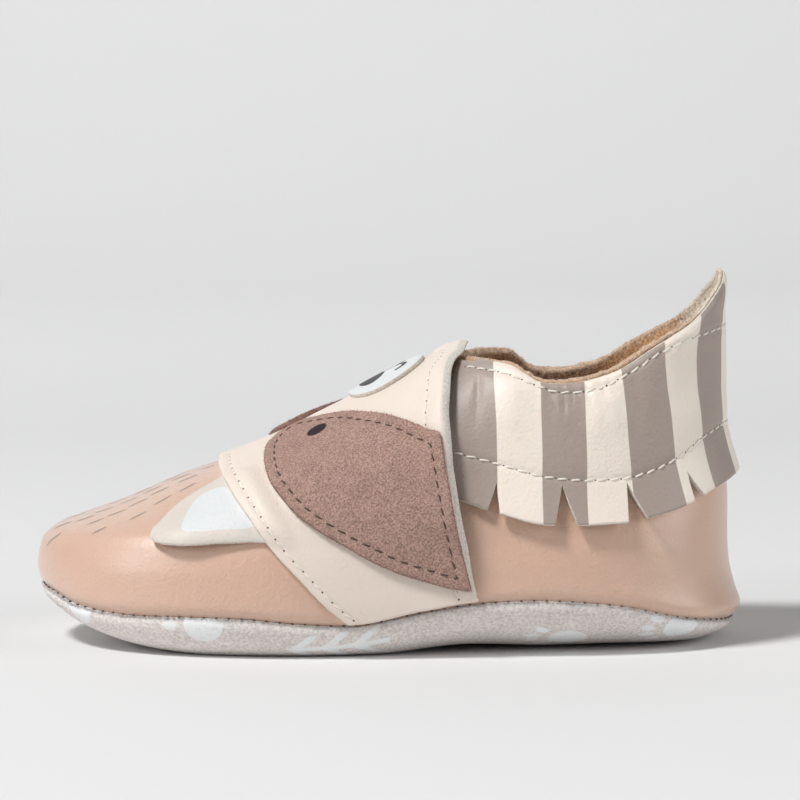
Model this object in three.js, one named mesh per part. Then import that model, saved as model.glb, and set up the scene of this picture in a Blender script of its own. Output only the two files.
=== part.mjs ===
import * as THREE from 'three';

// A soft-soled leather baby slipper, left foot, in millimetres: +Z up, toe towards -X, heel towards +X,
// the outer side of the foot towards -Y. The origin is on the floor under the middle of the slipper.
// One last gives the form of every piece. Its level sections are ovals whose ends and widths come from
// LAST_LEVELS, and every panel is a sheet of leather laid on that last at its own height above it.

// Overall sizes
const LENGTH = 125;
const BALL_WIDTH = 58;
const INSTEP_HEIGHT = 50.6;
const COLLAR_HEIGHT = 46.8;
const TAB_HEIGHT = 64.6;
const SEAM_HEIGHT = 10;
const TOE_SPRING = 6;
const ARCH_RAISE = 0.8;
const TOE_TURN = 3;
const OUTER_WAIST = 1.3;
const INNER_WAIST = 3.2;

// Leathers, and the gap that is kept between pieces that are sewn together
const UPPER_WALL = 2;
const SOLE_LEATHER = 2;
const INSOLE_LEATHER = 1.5;
const PANEL_LEATHER = 1;
const PATCH_SUEDE = 1;
const NOSE_LEATHER = 1.1;
const EAR_LEATHER = 1;
const CUFF_LEATHER = 1;
const SEWN_GAP = 0.3;
const SEAM_GAP = 0.4;
const CUFF_GAP = 0.35;
const PATCH_GAP = 0.45;

// Loose edges that stand off the last
const PANEL_FLARE = 1;
const EAR_LIFT = 3;
const FRINGE_FLARE = 0.8;
const FRINGE_HEEL_FLARE = 1.5;
const FRINGE_LENGTH = 8;
const CUFF_STITCH_HEIGHT = 30;
const CUFF_DROP = 0.7;
const CUFF_FRONT = 9;
const CUFF_LEAN = 4.3;
const NOSE_LENGTH = 15.6;
const NOSE_WIDTH = 18;

// Level sections of the last. height is a share of INSTEP_HEIGHT; toe, widest and heel are stations as
// shares of LENGTH from the middle; half is a share of BALL_WIDTH; the powers square the two ends off.
const LAST_LEVELS = [
  { height: 0.0, toe: -0.468, widest: -0.04, heel: 0.472, half: 0.472, toePower: 3.0, heelPower: 4.2 },
  { height: 0.06, toe: -0.48, widest: -0.04, heel: 0.488, half: 0.488, toePower: 3.0, heelPower: 4.2 },
  { height: 0.12, toe: -0.49, widest: -0.04, heel: 0.499, half: 0.497, toePower: 3.0, heelPower: 4.2 },
  { height: 0.18, toe: -0.494, widest: -0.04, heel: 0.492, half: 0.5, toePower: 3.0, heelPower: 4.1 },
  { height: 0.27, toe: -0.5, widest: -0.032, heel: 0.484, half: 0.495, toePower: 3.0, heelPower: 4.0 },
  { height: 0.345, toe: -0.494, widest: -0.024, heel: 0.482, half: 0.486, toePower: 2.9, heelPower: 3.9 },
  { height: 0.395, toe: -0.474, widest: -0.016, heel: 0.482, half: 0.476, toePower: 2.8, heelPower: 3.8 },
  { height: 0.43, toe: -0.437, widest: -0.008, heel: 0.482, half: 0.469, toePower: 2.7, heelPower: 3.7 },
  { height: 0.48, toe: -0.379, widest: 0.008, heel: 0.482, half: 0.457, toePower: 2.6, heelPower: 3.5 },
  { height: 0.57, toe: -0.294, widest: 0.048, heel: 0.48, half: 0.431, toePower: 2.4, heelPower: 3.2 },
  { height: 0.67, toe: -0.176, widest: 0.096, heel: 0.475, half: 0.4, toePower: 2.3, heelPower: 3.0 },
  { height: 0.79, toe: -0.075, widest: 0.16, heel: 0.47, half: 0.359, toePower: 2.2, heelPower: 2.8 },
  { height: 0.91, toe: 0.026, widest: 0.224, heel: 0.467, half: 0.321, toePower: 2.2, heelPower: 2.5 },
  { height: 1.0, toe: 0.107, widest: 0.264, heel: 0.467, half: 0.3, toePower: 2.2, heelPower: 2.4 },
  { height: 1.13, toe: 0.192, widest: 0.304, heel: 0.469, half: 0.29, toePower: 2.2, heelPower: 2.4 },
  { height: 1.28, toe: 0.272, widest: 0.336, heel: 0.474, half: 0.283, toePower: 2.2, heelPower: 2.4 },
];

// The seam between upper and sole: station as a share of LENGTH, height as a share of SEAM_HEIGHT.
const SEAM_LINE = [
  { station: -0.5, height: 0.98 },
  { station: -0.478, height: 0.94 },
  { station: -0.436, height: 0.77 },
  { station: -0.36, height: 0.7 },
  { station: -0.264, height: 0.72 },
  { station: -0.196, height: 0.7 },
  { station: -0.124, height: 0.62 },
  { station: -0.053, height: 0.58 },
  { station: 0.046, height: 0.8 },
  { station: 0.131, height: 0.96 },
  { station: 0.202, height: 1.0 },
  { station: 0.304, height: 0.9 },
  { station: 0.416, height: 0.57 },
  { station: 0.5, height: 0.32 },
];

// The edge of the foot opening. around runs from the throat (0) to the back of the heel (1), and the last
// row only rounds the tip there. throat and tab are shares of the way from COLLAR_HEIGHT up to
// INSTEP_HEIGHT and up to TAB_HEIGHT.
const TOPLINE = [
  { around: 0.0, throat: 0.82, tab: 0.0 },
  { around: 0.167, throat: 0.95, tab: 0.0 },
  { around: 0.306, throat: 0.85, tab: 0.0 },
  { around: 0.4, throat: 0.45, tab: 0.0 },
  { around: 0.467, throat: 0.1, tab: 0.0 },
  { around: 0.53, throat: 0.0, tab: 0.0 },
  { around: 0.589, throat: 0.0, tab: 0.06 },
  { around: 0.647, throat: 0.0, tab: 0.24 },
  { around: 0.694, throat: 0.0, tab: 0.322 },
  { around: 0.75, throat: 0.0, tab: 0.42 },
  { around: 0.811, throat: 0.0, tab: 0.583 },
  { around: 0.861, throat: 0.0, tab: 0.733 },
  { around: 0.933, throat: 0.0, tab: 0.89 },
  { around: 1.0, throat: 0.0, tab: 1.0 },
  { around: 1.067, throat: 0.0, tab: 0.89 },
];

// The underside: station as a share of LENGTH, width of the flat as a share of the sole's own width,
// rise as a share of TOE_SPRING and arch as a share of ARCH_RAISE.
const SOLE_FLAT = [
  { station: -0.456, width: 0.6, rise: 1.0, arch: 0 },
  { station: -0.408, width: 0.68, rise: 0.53, arch: 0 },
  { station: -0.35, width: 0.73, rise: 0.2, arch: 0 },
  { station: -0.29, width: 0.76, rise: 0.04, arch: 0 },
  { station: -0.24, width: 0.78, rise: 0.0, arch: 0 },
  { station: -0.12, width: 0.79, rise: 0.0, arch: 0 },
  { station: -0.02, width: 0.74, rise: 0.0, arch: 0 },
  { station: 0.1, width: 0.52, rise: 0.0, arch: 1 },
  { station: 0.22, width: 0.36, rise: 0.0, arch: 0 },
  { station: 0.3, width: 0.31, rise: 0.0, arch: 0 },
  { station: 0.4, width: 0.3, rise: 0.0, arch: 0 },
  { station: 0.444, width: 0.3, rise: 0.15, arch: 0 },
];

// Edges of the panel that wraps the instep, from the ridge (0) down to the seam (1).
const PANEL_EDGES = [
  { down: 0.0, front: -0.237, rear: 0.112 },
  { down: 0.17, front: -0.235, rear: 0.101 },
  { down: 0.34, front: -0.227, rear: 0.088 },
  { down: 0.44, front: -0.216, rear: 0.082 },
  { down: 0.54, front: -0.202, rear: 0.08 },
  { down: 0.64, front: -0.182, rear: 0.084 },
  { down: 0.74, front: -0.156, rear: 0.091 },
  { down: 0.83, front: -0.124, rear: 0.1 },
  { down: 0.92, front: -0.09, rear: 0.111 },
  { down: 1.0, front: -0.05, rear: 0.124 },
];

// Outlines on the last: station as a share of LENGTH, down as the way from the ridge to the seam.
const EYE_PATCH_OUTLINE = [
  { station: -0.168, down: 0.34 },
  { station: -0.158, down: 0.235 },
  { station: -0.118, down: 0.15 },
  { station: -0.052, down: 0.21 },
  { station: 0.0, down: 0.33 },
  { station: 0.048, down: 0.43 },
  { station: 0.075, down: 0.485 },
  { station: 0.077, down: 0.6 },
  { station: 0.086, down: 0.75 },
  { station: 0.101, down: 0.88 },
  { station: 0.11, down: 0.945 },
  { station: 0.08, down: 0.935 },
  { station: 0.032, down: 0.87 },
  { station: -0.048, down: 0.745 },
  { station: -0.104, down: 0.64 },
  { station: -0.148, down: 0.51 },
];
const EAR_OUTLINE = [
  { station: -0.328, down: 0.62 },
  { station: -0.314, down: 0.53 },
  { station: -0.292, down: 0.46 },
  { station: -0.262, down: 0.385 },
  { station: -0.234, down: 0.345 },
  { station: -0.221, down: 0.44 },
  { station: -0.207, down: 0.54 },
  { station: -0.188, down: 0.64 },
  { station: -0.172, down: 0.71 },
  { station: -0.212, down: 0.715 },
  { station: -0.256, down: 0.712 },
  { station: -0.296, down: 0.705 },
  { station: -0.32, down: 0.68 },
];

// Where the fringe is cut, in millimetres along a cuff of HEEL_RADIUS from the centre of the back:
// the tip of each cut, its two lower corners, and its depth as a share of FRINGE_LENGTH.
const HEEL_RADIUS = 18;
const HEEL_AXIS = 35;
const FRINGE_CUTS = [
  { tip: 43.9, front: 46, back: 43.5, depth: 0.62 },
  { tip: 32.5, front: 33.6, back: 30.1, depth: 0.84 },
  { tip: 22.9, front: 22.3, back: 19.6, depth: 0.84 },
  { tip: 13.2, front: 12.5, back: 9.6, depth: 0.66 },
];
const BACK_CUT = { half: 1.1, depth: 0.8 };
const CUT_SIDE = 1.3;

// Lower stitch line of the cuff and lower edge of its fringe, as heights above CUFF_STITCH_HEIGHT in
// shares of FRINGE_LENGTH, by the distance from the centre of the back.
const CUFF_LINES = [
  { back: 0, stitch: 0.93, hem: -0.05 },
  { back: 5, stitch: 0.85, hem: -0.3 },
  { back: 10, stitch: 0.62, hem: -0.48 },
  { back: 16, stitch: 0.28, hem: -0.68 },
  { back: 22, stitch: 0.06, hem: -0.88 },
  { back: 29, stitch: 0.02, hem: -0.94 },
  { back: 36, stitch: 0.1, hem: -0.9 },
  { back: 44, stitch: 0.4, hem: -0.64 },
  { back: 54.3, stitch: 0.72, hem: -0.22 },
];

// How finely the pieces are divided
const AROUND = 64;
const UPPER_ROWS = 16;
const SOLE_ROWS = 4;
const PANEL_ROWS = 9;
const PANEL_COLUMNS = 30;
const OUTLINE_STEPS = 30;
const FAN_RINGS = 4;
const SECTION_STEPS = 48;

// A smooth curve through the rows of a table that never overshoots them.
function smoothTable(rows, from, to) {
  const at = rows.map((row) => row[from]);
  const value = rows.map((row) => row[to]);
  const last = rows.length - 1;
  const chord = at.slice(1).map((next, i) => (value[i + 1] - value[i]) / (next - at[i]));
  const slope = at.map((_, i) => {
    if (i === 0) return chord[0];
    if (i === last) return chord[last - 1];
    const product = chord[i - 1] * chord[i];
    return product > 0 ? (2 * product) / (chord[i - 1] + chord[i]) : 0;
  });
  return (x) => {
    if (x <= at[0]) return value[0] + slope[0] * (x - at[0]);
    if (x >= at[last]) return value[last] + slope[last] * (x - at[last]);
    let i = 0;
    while (x > at[i + 1]) i += 1;
    const step = at[i + 1] - at[i];
    const t = (x - at[i]) / step;
    const ahead = t * t * (3 - 2 * t);
    const bend = slope[i] * (t - 2 * t * t + t ** 3) + slope[i + 1] * (t ** 3 - t * t);
    return value[i] + (value[i + 1] - value[i]) * ahead + step * bend;
  };
}

const levelTable = (column) => smoothTable(LAST_LEVELS, 'height', column);
const levels = {
  toe: levelTable('toe'),
  widest: levelTable('widest'),
  heel: levelTable('heel'),
  half: levelTable('half'),
  toePower: levelTable('toePower'),
  heelPower: levelTable('heelPower'),
};
const seamShare = smoothTable(SEAM_LINE, 'station', 'height');
const throatShare = smoothTable(TOPLINE, 'around', 'throat');
const tabShare = smoothTable(TOPLINE, 'around', 'tab');
const flatWidth = smoothTable(SOLE_FLAT, 'station', 'width');
const flatRise = smoothTable(SOLE_FLAT, 'station', 'rise');
const flatArch = smoothTable(SOLE_FLAT, 'station', 'arch');
const panelFront = smoothTable(PANEL_EDGES, 'down', 'front');
const panelRear = smoothTable(PANEL_EDGES, 'down', 'rear');
const cuffStitch = smoothTable(CUFF_LINES, 'back', 'stitch');
const cuffHem = smoothTable(CUFF_LINES, 'back', 'hem');

const clamp = THREE.MathUtils.clamp;
const mix = THREE.MathUtils.lerp;
const ease = THREE.MathUtils.smoothstep;

// The level section of the last at height z: where it starts and ends, and how wide it is.
function levelAt(z) {
  const share = z / INSTEP_HEIGHT;
  return {
    toe: levels.toe(share) * LENGTH,
    widest: levels.widest(share) * LENGTH,
    heel: levels.heel(share) * LENGTH,
    half: levels.half(share) * BALL_WIDTH,
    toePower: levels.toePower(share),
    heelPower: levels.heelPower(share),
  };
}

// The centre line bends inwards at the toe, as the foot does.
function centreLine(x) {
  const start = -0.12 * LENGTH;
  const run = 0.38 * LENGTH;
  return TOE_TURN * Math.max(0, (start - x) / run) ** 2;
}

// The square of the last's half width at station x and height z, below zero outside it.
function halfSquared(x, z, inner) {
  const level = levelAt(z);
  const ahead = x < level.widest;
  const run = ahead ? level.widest - level.toe : level.heel - level.widest;
  const share = Math.abs(x - level.widest) / run;
  const waistStation = 0.08 * LENGTH;
  const waistSpread = 0.144 * LENGTH;
  const waist = Math.exp(-(((x - waistStation) / waistSpread) ** 2));
  const fade = clamp(1 - z / INSTEP_HEIGHT, 0, 1);
  const dip = ((inner ? INNER_WAIST : OUTER_WAIST) * waist * fade) / (BALL_WIDTH / 2);
  const power = ahead ? level.toePower : level.heelPower;
  return level.half ** 2 * (1 - share ** power) * (1 - dip) ** 2;
}

function halfWidth(x, z, inner) {
  return Math.sqrt(Math.max(0, halfSquared(x, z, inner)));
}

// The direction that points straight out of the last at a point of its surface.
function outward(point) {
  const field = (x, y, z) => {
    const aside = y - centreLine(x);
    return aside ** 2 - halfSquared(x, z, aside > 0);
  };
  const { x, y, z } = point;
  const d = 0.05;
  return new THREE.Vector3(
    field(x + d, y, z) - field(x - d, y, z),
    field(x, y + d, z) - field(x, y - d, z),
    field(x, y, z + d) - field(x, y, z - d),
  ).normalize();
}

function raise(point, distance) {
  return point.clone().addScaledVector(outward(point), distance);
}

// A point round the level section at height z. turn is an angle: 0 at the toe, pi at the heel, below
// zero on the outer side.
function levelPoint(turn, z) {
  const level = levelAt(z);
  const c = Math.cos(turn);
  const x = level.widest - c * (c > 0 ? level.widest - level.toe : level.heel - level.widest);
  const inner = turn > 0;
  const y = centreLine(x) + (inner ? 1 : -1) * halfWidth(x, z, inner);
  return new THREE.Vector3(x, y, z);
}

function seamHeight(x) {
  return SEAM_HEIGHT * seamShare(x / LENGTH);
}

function seamPoint(turn, above) {
  let point = levelPoint(turn, SEAM_HEIGHT);
  for (let i = 0; i < 12; i += 1) point = levelPoint(turn, seamHeight(point.x) + above);
  return point;
}

function toplineHeight(turn) {
  const around = Math.abs(turn) / Math.PI;
  const throat = (INSTEP_HEIGHT - COLLAR_HEIGHT) * throatShare(around);
  const tab = (TAB_HEIGHT - COLLAR_HEIGHT) * tabShare(around);
  return COLLAR_HEIGHT + throat + tab;
}

// The height of the last's ridge at station x, ahead of the throat.
function ridgeHeight(x) {
  let low = 0.27 * INSTEP_HEIGHT;
  let high = 1.28 * INSTEP_HEIGHT;
  for (let i = 0; i < 40; i += 1) {
    const middle = (low + high) / 2;
    if (levelAt(middle).toe < x) low = middle;
    else high = middle;
  }
  return low;
}

// A point on the upright section at station x. down runs from the ridge (0) to the seam (1), and is
// below zero on the outer side.
function vampPoint(x, down) {
  const inner = down > 0;
  const top = ridgeHeight(x);
  const foot = seamHeight(x);
  const points = [];
  const lengths = [];
  for (let k = 0; k <= SECTION_STEPS; k += 1) {
    const z = mix(foot, top, Math.cos((k / SECTION_STEPS) * (Math.PI / 2)) ** 0.9);
    const aside = k === 0 ? 0 : halfWidth(x, z, inner);
    points.push(new THREE.Vector3(x, centreLine(x) + (inner ? aside : -aside), z));
    lengths.push(k === 0 ? 0 : lengths[k - 1] + points[k].distanceTo(points[k - 1]));
  }
  const target = Math.abs(down) * lengths[SECTION_STEPS];
  let i = 0;
  while (i < SECTION_STEPS - 1 && lengths[i + 1] < target) i += 1;
  const share = (target - lengths[i]) / (lengths[i + 1] - lengths[i]);
  return points[i].clone().lerp(points[i + 1], share);
}

// A point on the heel wall at height z. back is the distance from the centre of the heel, below zero on
// the outer side: round HEEL_AXIS at HEEL_RADIUS first, then straight ahead along the side.
function wallPoint(back, z) {
  const inner = back > 0;
  const quarter = (HEEL_RADIUS * Math.PI) / 2;
  const far = Math.abs(back);
  if (far >= quarter) {
    const x = HEEL_AXIS - (far - quarter);
    const half = halfWidth(x, z, inner);
    return new THREE.Vector3(x, centreLine(x) + (inner ? half : -half), z);
  }
  const angle = far / HEEL_RADIUS;
  let low = 0;
  let high = LENGTH;
  for (let i = 0; i < 40; i += 1) {
    const reach = (low + high) / 2;
    const beside = (reach * Math.sin(angle)) ** 2;
    if (beside < halfSquared(HEEL_AXIS + reach * Math.cos(angle), z, inner)) low = reach;
    else high = reach;
  }
  const side = (inner ? 1 : -1) * low * Math.sin(angle);
  return new THREE.Vector3(HEEL_AXIS + low * Math.cos(angle), side, z);
}

// The height of the foot opening's edge above a place on the heel wall.
function openingHeight(back) {
  let z = COLLAR_HEIGHT;
  for (let i = 0; i < 30; i += 1) {
    const point = wallPoint(back, z);
    const level = levelAt(z);
    const ahead = point.x < level.widest;
    const run = ahead ? level.widest - level.toe : level.heel - level.widest;
    const turn = Math.acos(clamp((level.widest - point.x) / run, -1, 1));
    z = mix(z, toplineHeight(turn), 0.5);
  }
  return z;
}

// Splits a four-sided face along its shorter diagonal.
function splitFace(points, a, b, c, d) {
  const straight = points[a].distanceTo(points[c]) <= points[b].distanceTo(points[d]);
  return straight ? [[a, b, c], [a, c, d]] : [[a, b, d], [b, c, d]];
}

// The faces of a grid of points, row by row. A wrapped grid closes on itself along its rows.
function gridFaces(points, rows, columns, wrapped) {
  const wide = wrapped ? columns : columns + 1;
  const index = (row, column) => row * wide + (column % wide);
  const faces = [];
  for (let row = 0; row < rows; row += 1) {
    for (let column = 0; column < columns; column += 1) {
      const near = [index(row, column), index(row, column + 1)];
      const far = [index(row + 1, column + 1), index(row + 1, column)];
      faces.push(...splitFace(points, ...near, ...far));
    }
  }
  return faces;
}

// The faces of rings of points round one centre point.
function fanFaces(points, rings, around) {
  const index = (ring, step) => 1 + (ring - 1) * around + (step % around);
  const faces = [];
  for (let step = 0; step < around; step += 1) {
    faces.push([0, index(1, step), index(1, step + 1)]);
    for (let ring = 1; ring < rings; ring += 1) {
      const near = [index(ring, step), index(ring + 1, step)];
      const far = [index(ring + 1, step + 1), index(ring, step + 1)];
      faces.push(...splitFace(points, ...near, ...far));
    }
  }
  return faces;
}

// The faces across the last ring of a bowl, from its outer to its inner side.
function floorFaces(points, start, around) {
  const index = (step) => start + (step % around);
  const faces = [[index(0), index(1), index(around - 1)]];
  for (let step = 1; step < around / 2 - 1; step += 1) {
    const near = [index(step), index(step + 1)];
    const far = [index(around - step - 1), index(around - step)];
    faces.push(...splitFace(points, ...near, ...far));
  }
  const heel = around / 2;
  faces.push([index(heel - 1), index(heel), index(heel + 1)]);
  return faces;
}

// A closed body from a sheet's two skins: the same faces on both, and a wall along every open edge.
function thickSheet(name, colour, roughness, outerSkin, innerSkin, faces) {
  const count = outerSkin.length;
  const points = [...outerSkin, ...innerSkin];
  const closed = [];
  const openEdges = new Map();
  for (const [a, b, c] of faces) {
    closed.push([a, b, c], [c + count, b + count, a + count]);
    for (const [from, to] of [[a, b], [b, c], [c, a]]) {
      if (!openEdges.delete(`${to},${from}`)) openEdges.set(`${from},${to}`, [from, to]);
    }
  }
  for (const [from, to] of openEdges.values()) {
    closed.push([to, from, from + count], [to, from + count, to + count]);
  }
  const volume = closed.reduce((sum, [a, b, c]) => {
    const spanned = new THREE.Vector3().crossVectors(points[b], points[c]);
    return sum + points[a].dot(spanned);
  }, 0);
  const facing = volume > 0 ? closed : closed.map(([a, b, c]) => [c, b, a]);
  const geometry = new THREE.BufferGeometry().setFromPoints(points);
  geometry.setIndex(facing.flat());
  geometry.computeVertexNormals();
  const material = new THREE.MeshStandardMaterial({ color: colour, roughness, metalness: 0 });
  const mesh = new THREE.Mesh(geometry, material);
  mesh.name = name;
  return mesh;
}

// Upper: one hollow wall from the sole seam up to the foot opening, open at both.
function upper() {
  const outerSkin = [];
  for (let row = 0; row <= UPPER_ROWS; row += 1) {
    for (let step = 0; step < AROUND; step += 1) {
      const turn = ((step <= AROUND / 2 ? step : step - AROUND) / AROUND) * 2 * Math.PI;
      const foot = seamPoint(turn, SEAM_GAP / 2).z;
      const toeEnd = Math.abs(turn) < Math.PI / 3 ? 1 - Math.abs(turn) / (Math.PI / 3) : 0;
      const share = (row / UPPER_ROWS) ** (1 + 0.15 * toeEnd);
      outerSkin.push(levelPoint(turn, mix(foot, toplineHeight(turn), share)));
    }
  }
  const innerSkin = outerSkin.map((point) => raise(point, -UPPER_WALL));
  const faces = gridFaces(outerSkin, UPPER_ROWS, AROUND, true);
  return thickSheet('upper', '#d8b49c', 0.5, outerSkin, innerSkin, faces);
}

// A point of the sole's skin: bend runs from the seam (0) round to the flat underside (1), and lift is
// the height above the outer skin.
function solePoint(turn, bend, lift) {
  const seam = seamPoint(turn, -SEAM_GAP / 2);
  const rim = raise(seam, -lift);
  const toeEnd = SOLE_FLAT[0].station;
  const heelEnd = SOLE_FLAT[SOLE_FLAT.length - 1].station;
  const toeRim = seamPoint(0, 0).x;
  const heelRim = seamPoint(Math.PI, 0).x;
  const along = (seam.x - toeRim) / (heelRim - toeRim);
  const station = mix(toeEnd, heelEnd, clamp(along, 0, 1));
  const aside = (seam.y - centreLine(seam.x)) * flatWidth(station);
  const flat = new THREE.Vector3(
    station * LENGTH * (1 - (2 * lift) / LENGTH),
    centreLine(station * LENGTH) + aside * (1 - (2 * lift) / BALL_WIDTH),
    TOE_SPRING * flatRise(station) + ARCH_RAISE * flatArch(station) + lift,
  );
  const angle = (bend * Math.PI) / 2;
  return new THREE.Vector3(
    mix(flat.x, rim.x, Math.cos(angle)),
    mix(flat.y, rim.y, Math.cos(angle)),
    mix(rim.z, flat.z, Math.sin(angle)),
  );
}

function bowl(name, colour, roughness, bends, outerLift, innerLift) {
  const turns = Array.from({ length: AROUND }, (_, step) => {
    return ((step <= AROUND / 2 ? step : step - AROUND) / AROUND) * 2 * Math.PI;
  });
  const skin = (lift) => bends.flatMap((bend) => turns.map((turn) => solePoint(turn, bend, lift)));
  const outerSkin = skin(outerLift);
  const walls = gridFaces(outerSkin, bends.length - 1, AROUND, true);
  const floor = floorFaces(outerSkin, (bends.length - 1) * AROUND, AROUND);
  return thickSheet(name, colour, roughness, outerSkin, skin(innerLift), [...walls, ...floor]);
}

// Sole: a suede bowl that comes up to the seam all round and is flat under the ball and the heel.
function sole() {
  const bends = Array.from({ length: SOLE_ROWS + 1 }, (_, row) => row / SOLE_ROWS);
  return bowl('sole', '#c4bbb5', 0.95, bends, 0, SOLE_LEATHER);
}

// Insole: a lining sheet that lies in the sole, short of its rim.
function insole() {
  const under = SOLE_LEATHER + SEWN_GAP + 0.1;
  return bowl('insole', '#b98f68', 0.95, [0.45, 0.72, 1], under, under + INSOLE_LEATHER);
}

// How far the underside of the instep panel stands off the last. Its rear edge rides over the cuff and
// flares; its front edge and its two ends lie flat, where they are sewn down.
function panelLift(x, down) {
  const far = Math.abs(down);
  const front = panelFront(far) * LENGTH;
  const rear = panelRear(far) * LENGTH;
  const along = (x - front) / (rear - front);
  const overCuff = (CUFF_LEATHER + CUFF_GAP) * ease(along, 0.5, 0.88) * (1 - ease(far, 0.72, 0.86));
  const flare = PANEL_FLARE * ease(along, 0.82, 1) * (1 - ease(far, 0.55, 1));
  return SEWN_GAP + overCuff + flare;
}

// Instep panel: a band over the instep from the seam on one side to the seam on the other.
function instepPanel() {
  const places = [];
  for (let row = 0; row <= PANEL_ROWS; row += 1) {
    for (let column = 0; column <= PANEL_COLUMNS; column += 1) {
      const down = -0.985 + (1.97 * column) / PANEL_COLUMNS;
      const front = panelFront(Math.abs(down)) * LENGTH;
      const rear = panelRear(Math.abs(down)) * LENGTH;
      places.push([mix(front, rear, row / PANEL_ROWS), down]);
    }
  }
  const skin = (above) => places.map(([x, down]) => raise(vampPoint(x, down), panelLift(x, down) + above));
  const outerSkin = skin(PANEL_LEATHER);
  const faces = gridFaces(outerSkin, PANEL_ROWS, PANEL_COLUMNS, false);
  return thickSheet('instep_panel', '#e8ddd0', 0.5, outerSkin, skin(0), faces);
}

// A sheet cut to a closed outline on the vamp, lying at the height that lift gives.
function outlinedSheet(name, colour, roughness, corners, lift, thickness) {
  const curve = new THREE.CatmullRomCurve3(
    corners.map(([x, down]) => new THREE.Vector3(x, down * BALL_WIDTH, 0)),
    true,
    'centripetal',
  );
  const outline = curve.getSpacedPoints(OUTLINE_STEPS).slice(0, OUTLINE_STEPS);
  const middle = new THREE.Vector3();
  for (const point of outline) middle.addScaledVector(point, 1 / OUTLINE_STEPS);
  const places = [middle];
  for (let ring = 1; ring <= FAN_RINGS; ring += 1) {
    for (const point of outline) places.push(middle.clone().lerp(point, ring / FAN_RINGS));
  }
  const skin = (above) => places.map((place) => {
    const down = place.y / BALL_WIDTH;
    return raise(vampPoint(place.x, down), lift(place.x, down) + above);
  });
  const outerSkin = skin(thickness);
  const faces = fanFaces(outerSkin, FAN_RINGS, OUTLINE_STEPS);
  return thickSheet(name, colour, roughness, outerSkin, skin(0), faces);
}

const onPanel = (x, down) => panelLift(x, down) + PANEL_LEATHER + PATCH_GAP;

// Eye patch: a large leaf of suede on each side of the instep panel.
function eyePatch(name, side) {
  const corners = EYE_PATCH_OUTLINE.map(({ station, down }) => [station * LENGTH, side * down]);
  return outlinedSheet(name, '#a68d84', 0.95, corners, onPanel, PATCH_SUEDE);
}

// Nose patch: an oval across the ridge of the instep panel.
function nosePatch() {
  const middle = 0.7;
  const ridgeToSeam = vampPoint(middle, 0).distanceTo(vampPoint(middle, 0.25)) / 0.25;
  const corners = Array.from({ length: 12 }, (_, step) => {
    const angle = (step / 12) * 2 * Math.PI;
    const x = middle + (Math.cos(angle) * NOSE_LENGTH * 0.91) / 2;
    return [x, (Math.sin(angle) * NOSE_WIDTH) / 2 / ridgeToSeam];
  });
  return outlinedSheet('nose_patch', '#eceeee', 0.55, corners, onPanel, NOSE_LEATHER);
}

// Ear: a flap that is sewn in along the front edge of the panel. Its lower edge stands off the toe.
function ear(name, side) {
  const corners = EAR_OUTLINE.map(({ station, down }) => [station * LENGTH, side * down]);
  const lift = (x, down) => {
    const outwards = ease(Math.abs(down), 0.5, 0.71);
    const station = x / LENGTH;
    const along = ease(station, -0.335, -0.3) * 0.5 + 0.5;
    return SEWN_GAP + EAR_LIFT * outwards * along * (1 - ease(station, -0.27, -0.175));
  };
  return outlinedSheet(name, '#ebe4da', 0.5, corners, lift, EAR_LEATHER);
}

// The columns of the cuff from its outer front end round the heel to its inner front end. low is the
// place at the hem, high at the stitch line, and cut the depth that a cut reaches there.
function cuffColumns() {
  const end = HEEL_AXIS - CUFF_FRONT + (HEEL_RADIUS * Math.PI) / 2;
  const half = [{ low: end, high: end, cut: 0 }];
  const fillTo = (next, count) => {
    const from = half[half.length - 1];
    for (let k = 1; k <= count; k += 1) {
      const share = k / (count + 1);
      half.push({ low: mix(from.low, next.low, share), high: mix(from.high, next.high, share), cut: 0 });
    }
    half.push(next);
  };
  for (const { tip, front, back, depth } of FRINGE_CUTS) {
    fillTo({ low: front, high: tip + CUT_SIDE, cut: 0 }, 2);
    half.push({ low: tip, high: tip, cut: depth });
    half.push({ low: back, high: tip - CUT_SIDE, cut: 0 });
  }
  fillTo({ low: BACK_CUT.half, high: CUT_SIDE, cut: 0 }, 3);
  const middle = { low: 0, high: 0, cut: BACK_CUT.depth };
  const outer = half.map(({ low, high, cut }) => ({ low: -low, high: -high, cut }));
  return [...outer, middle, ...half.reverse()];
}

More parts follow.
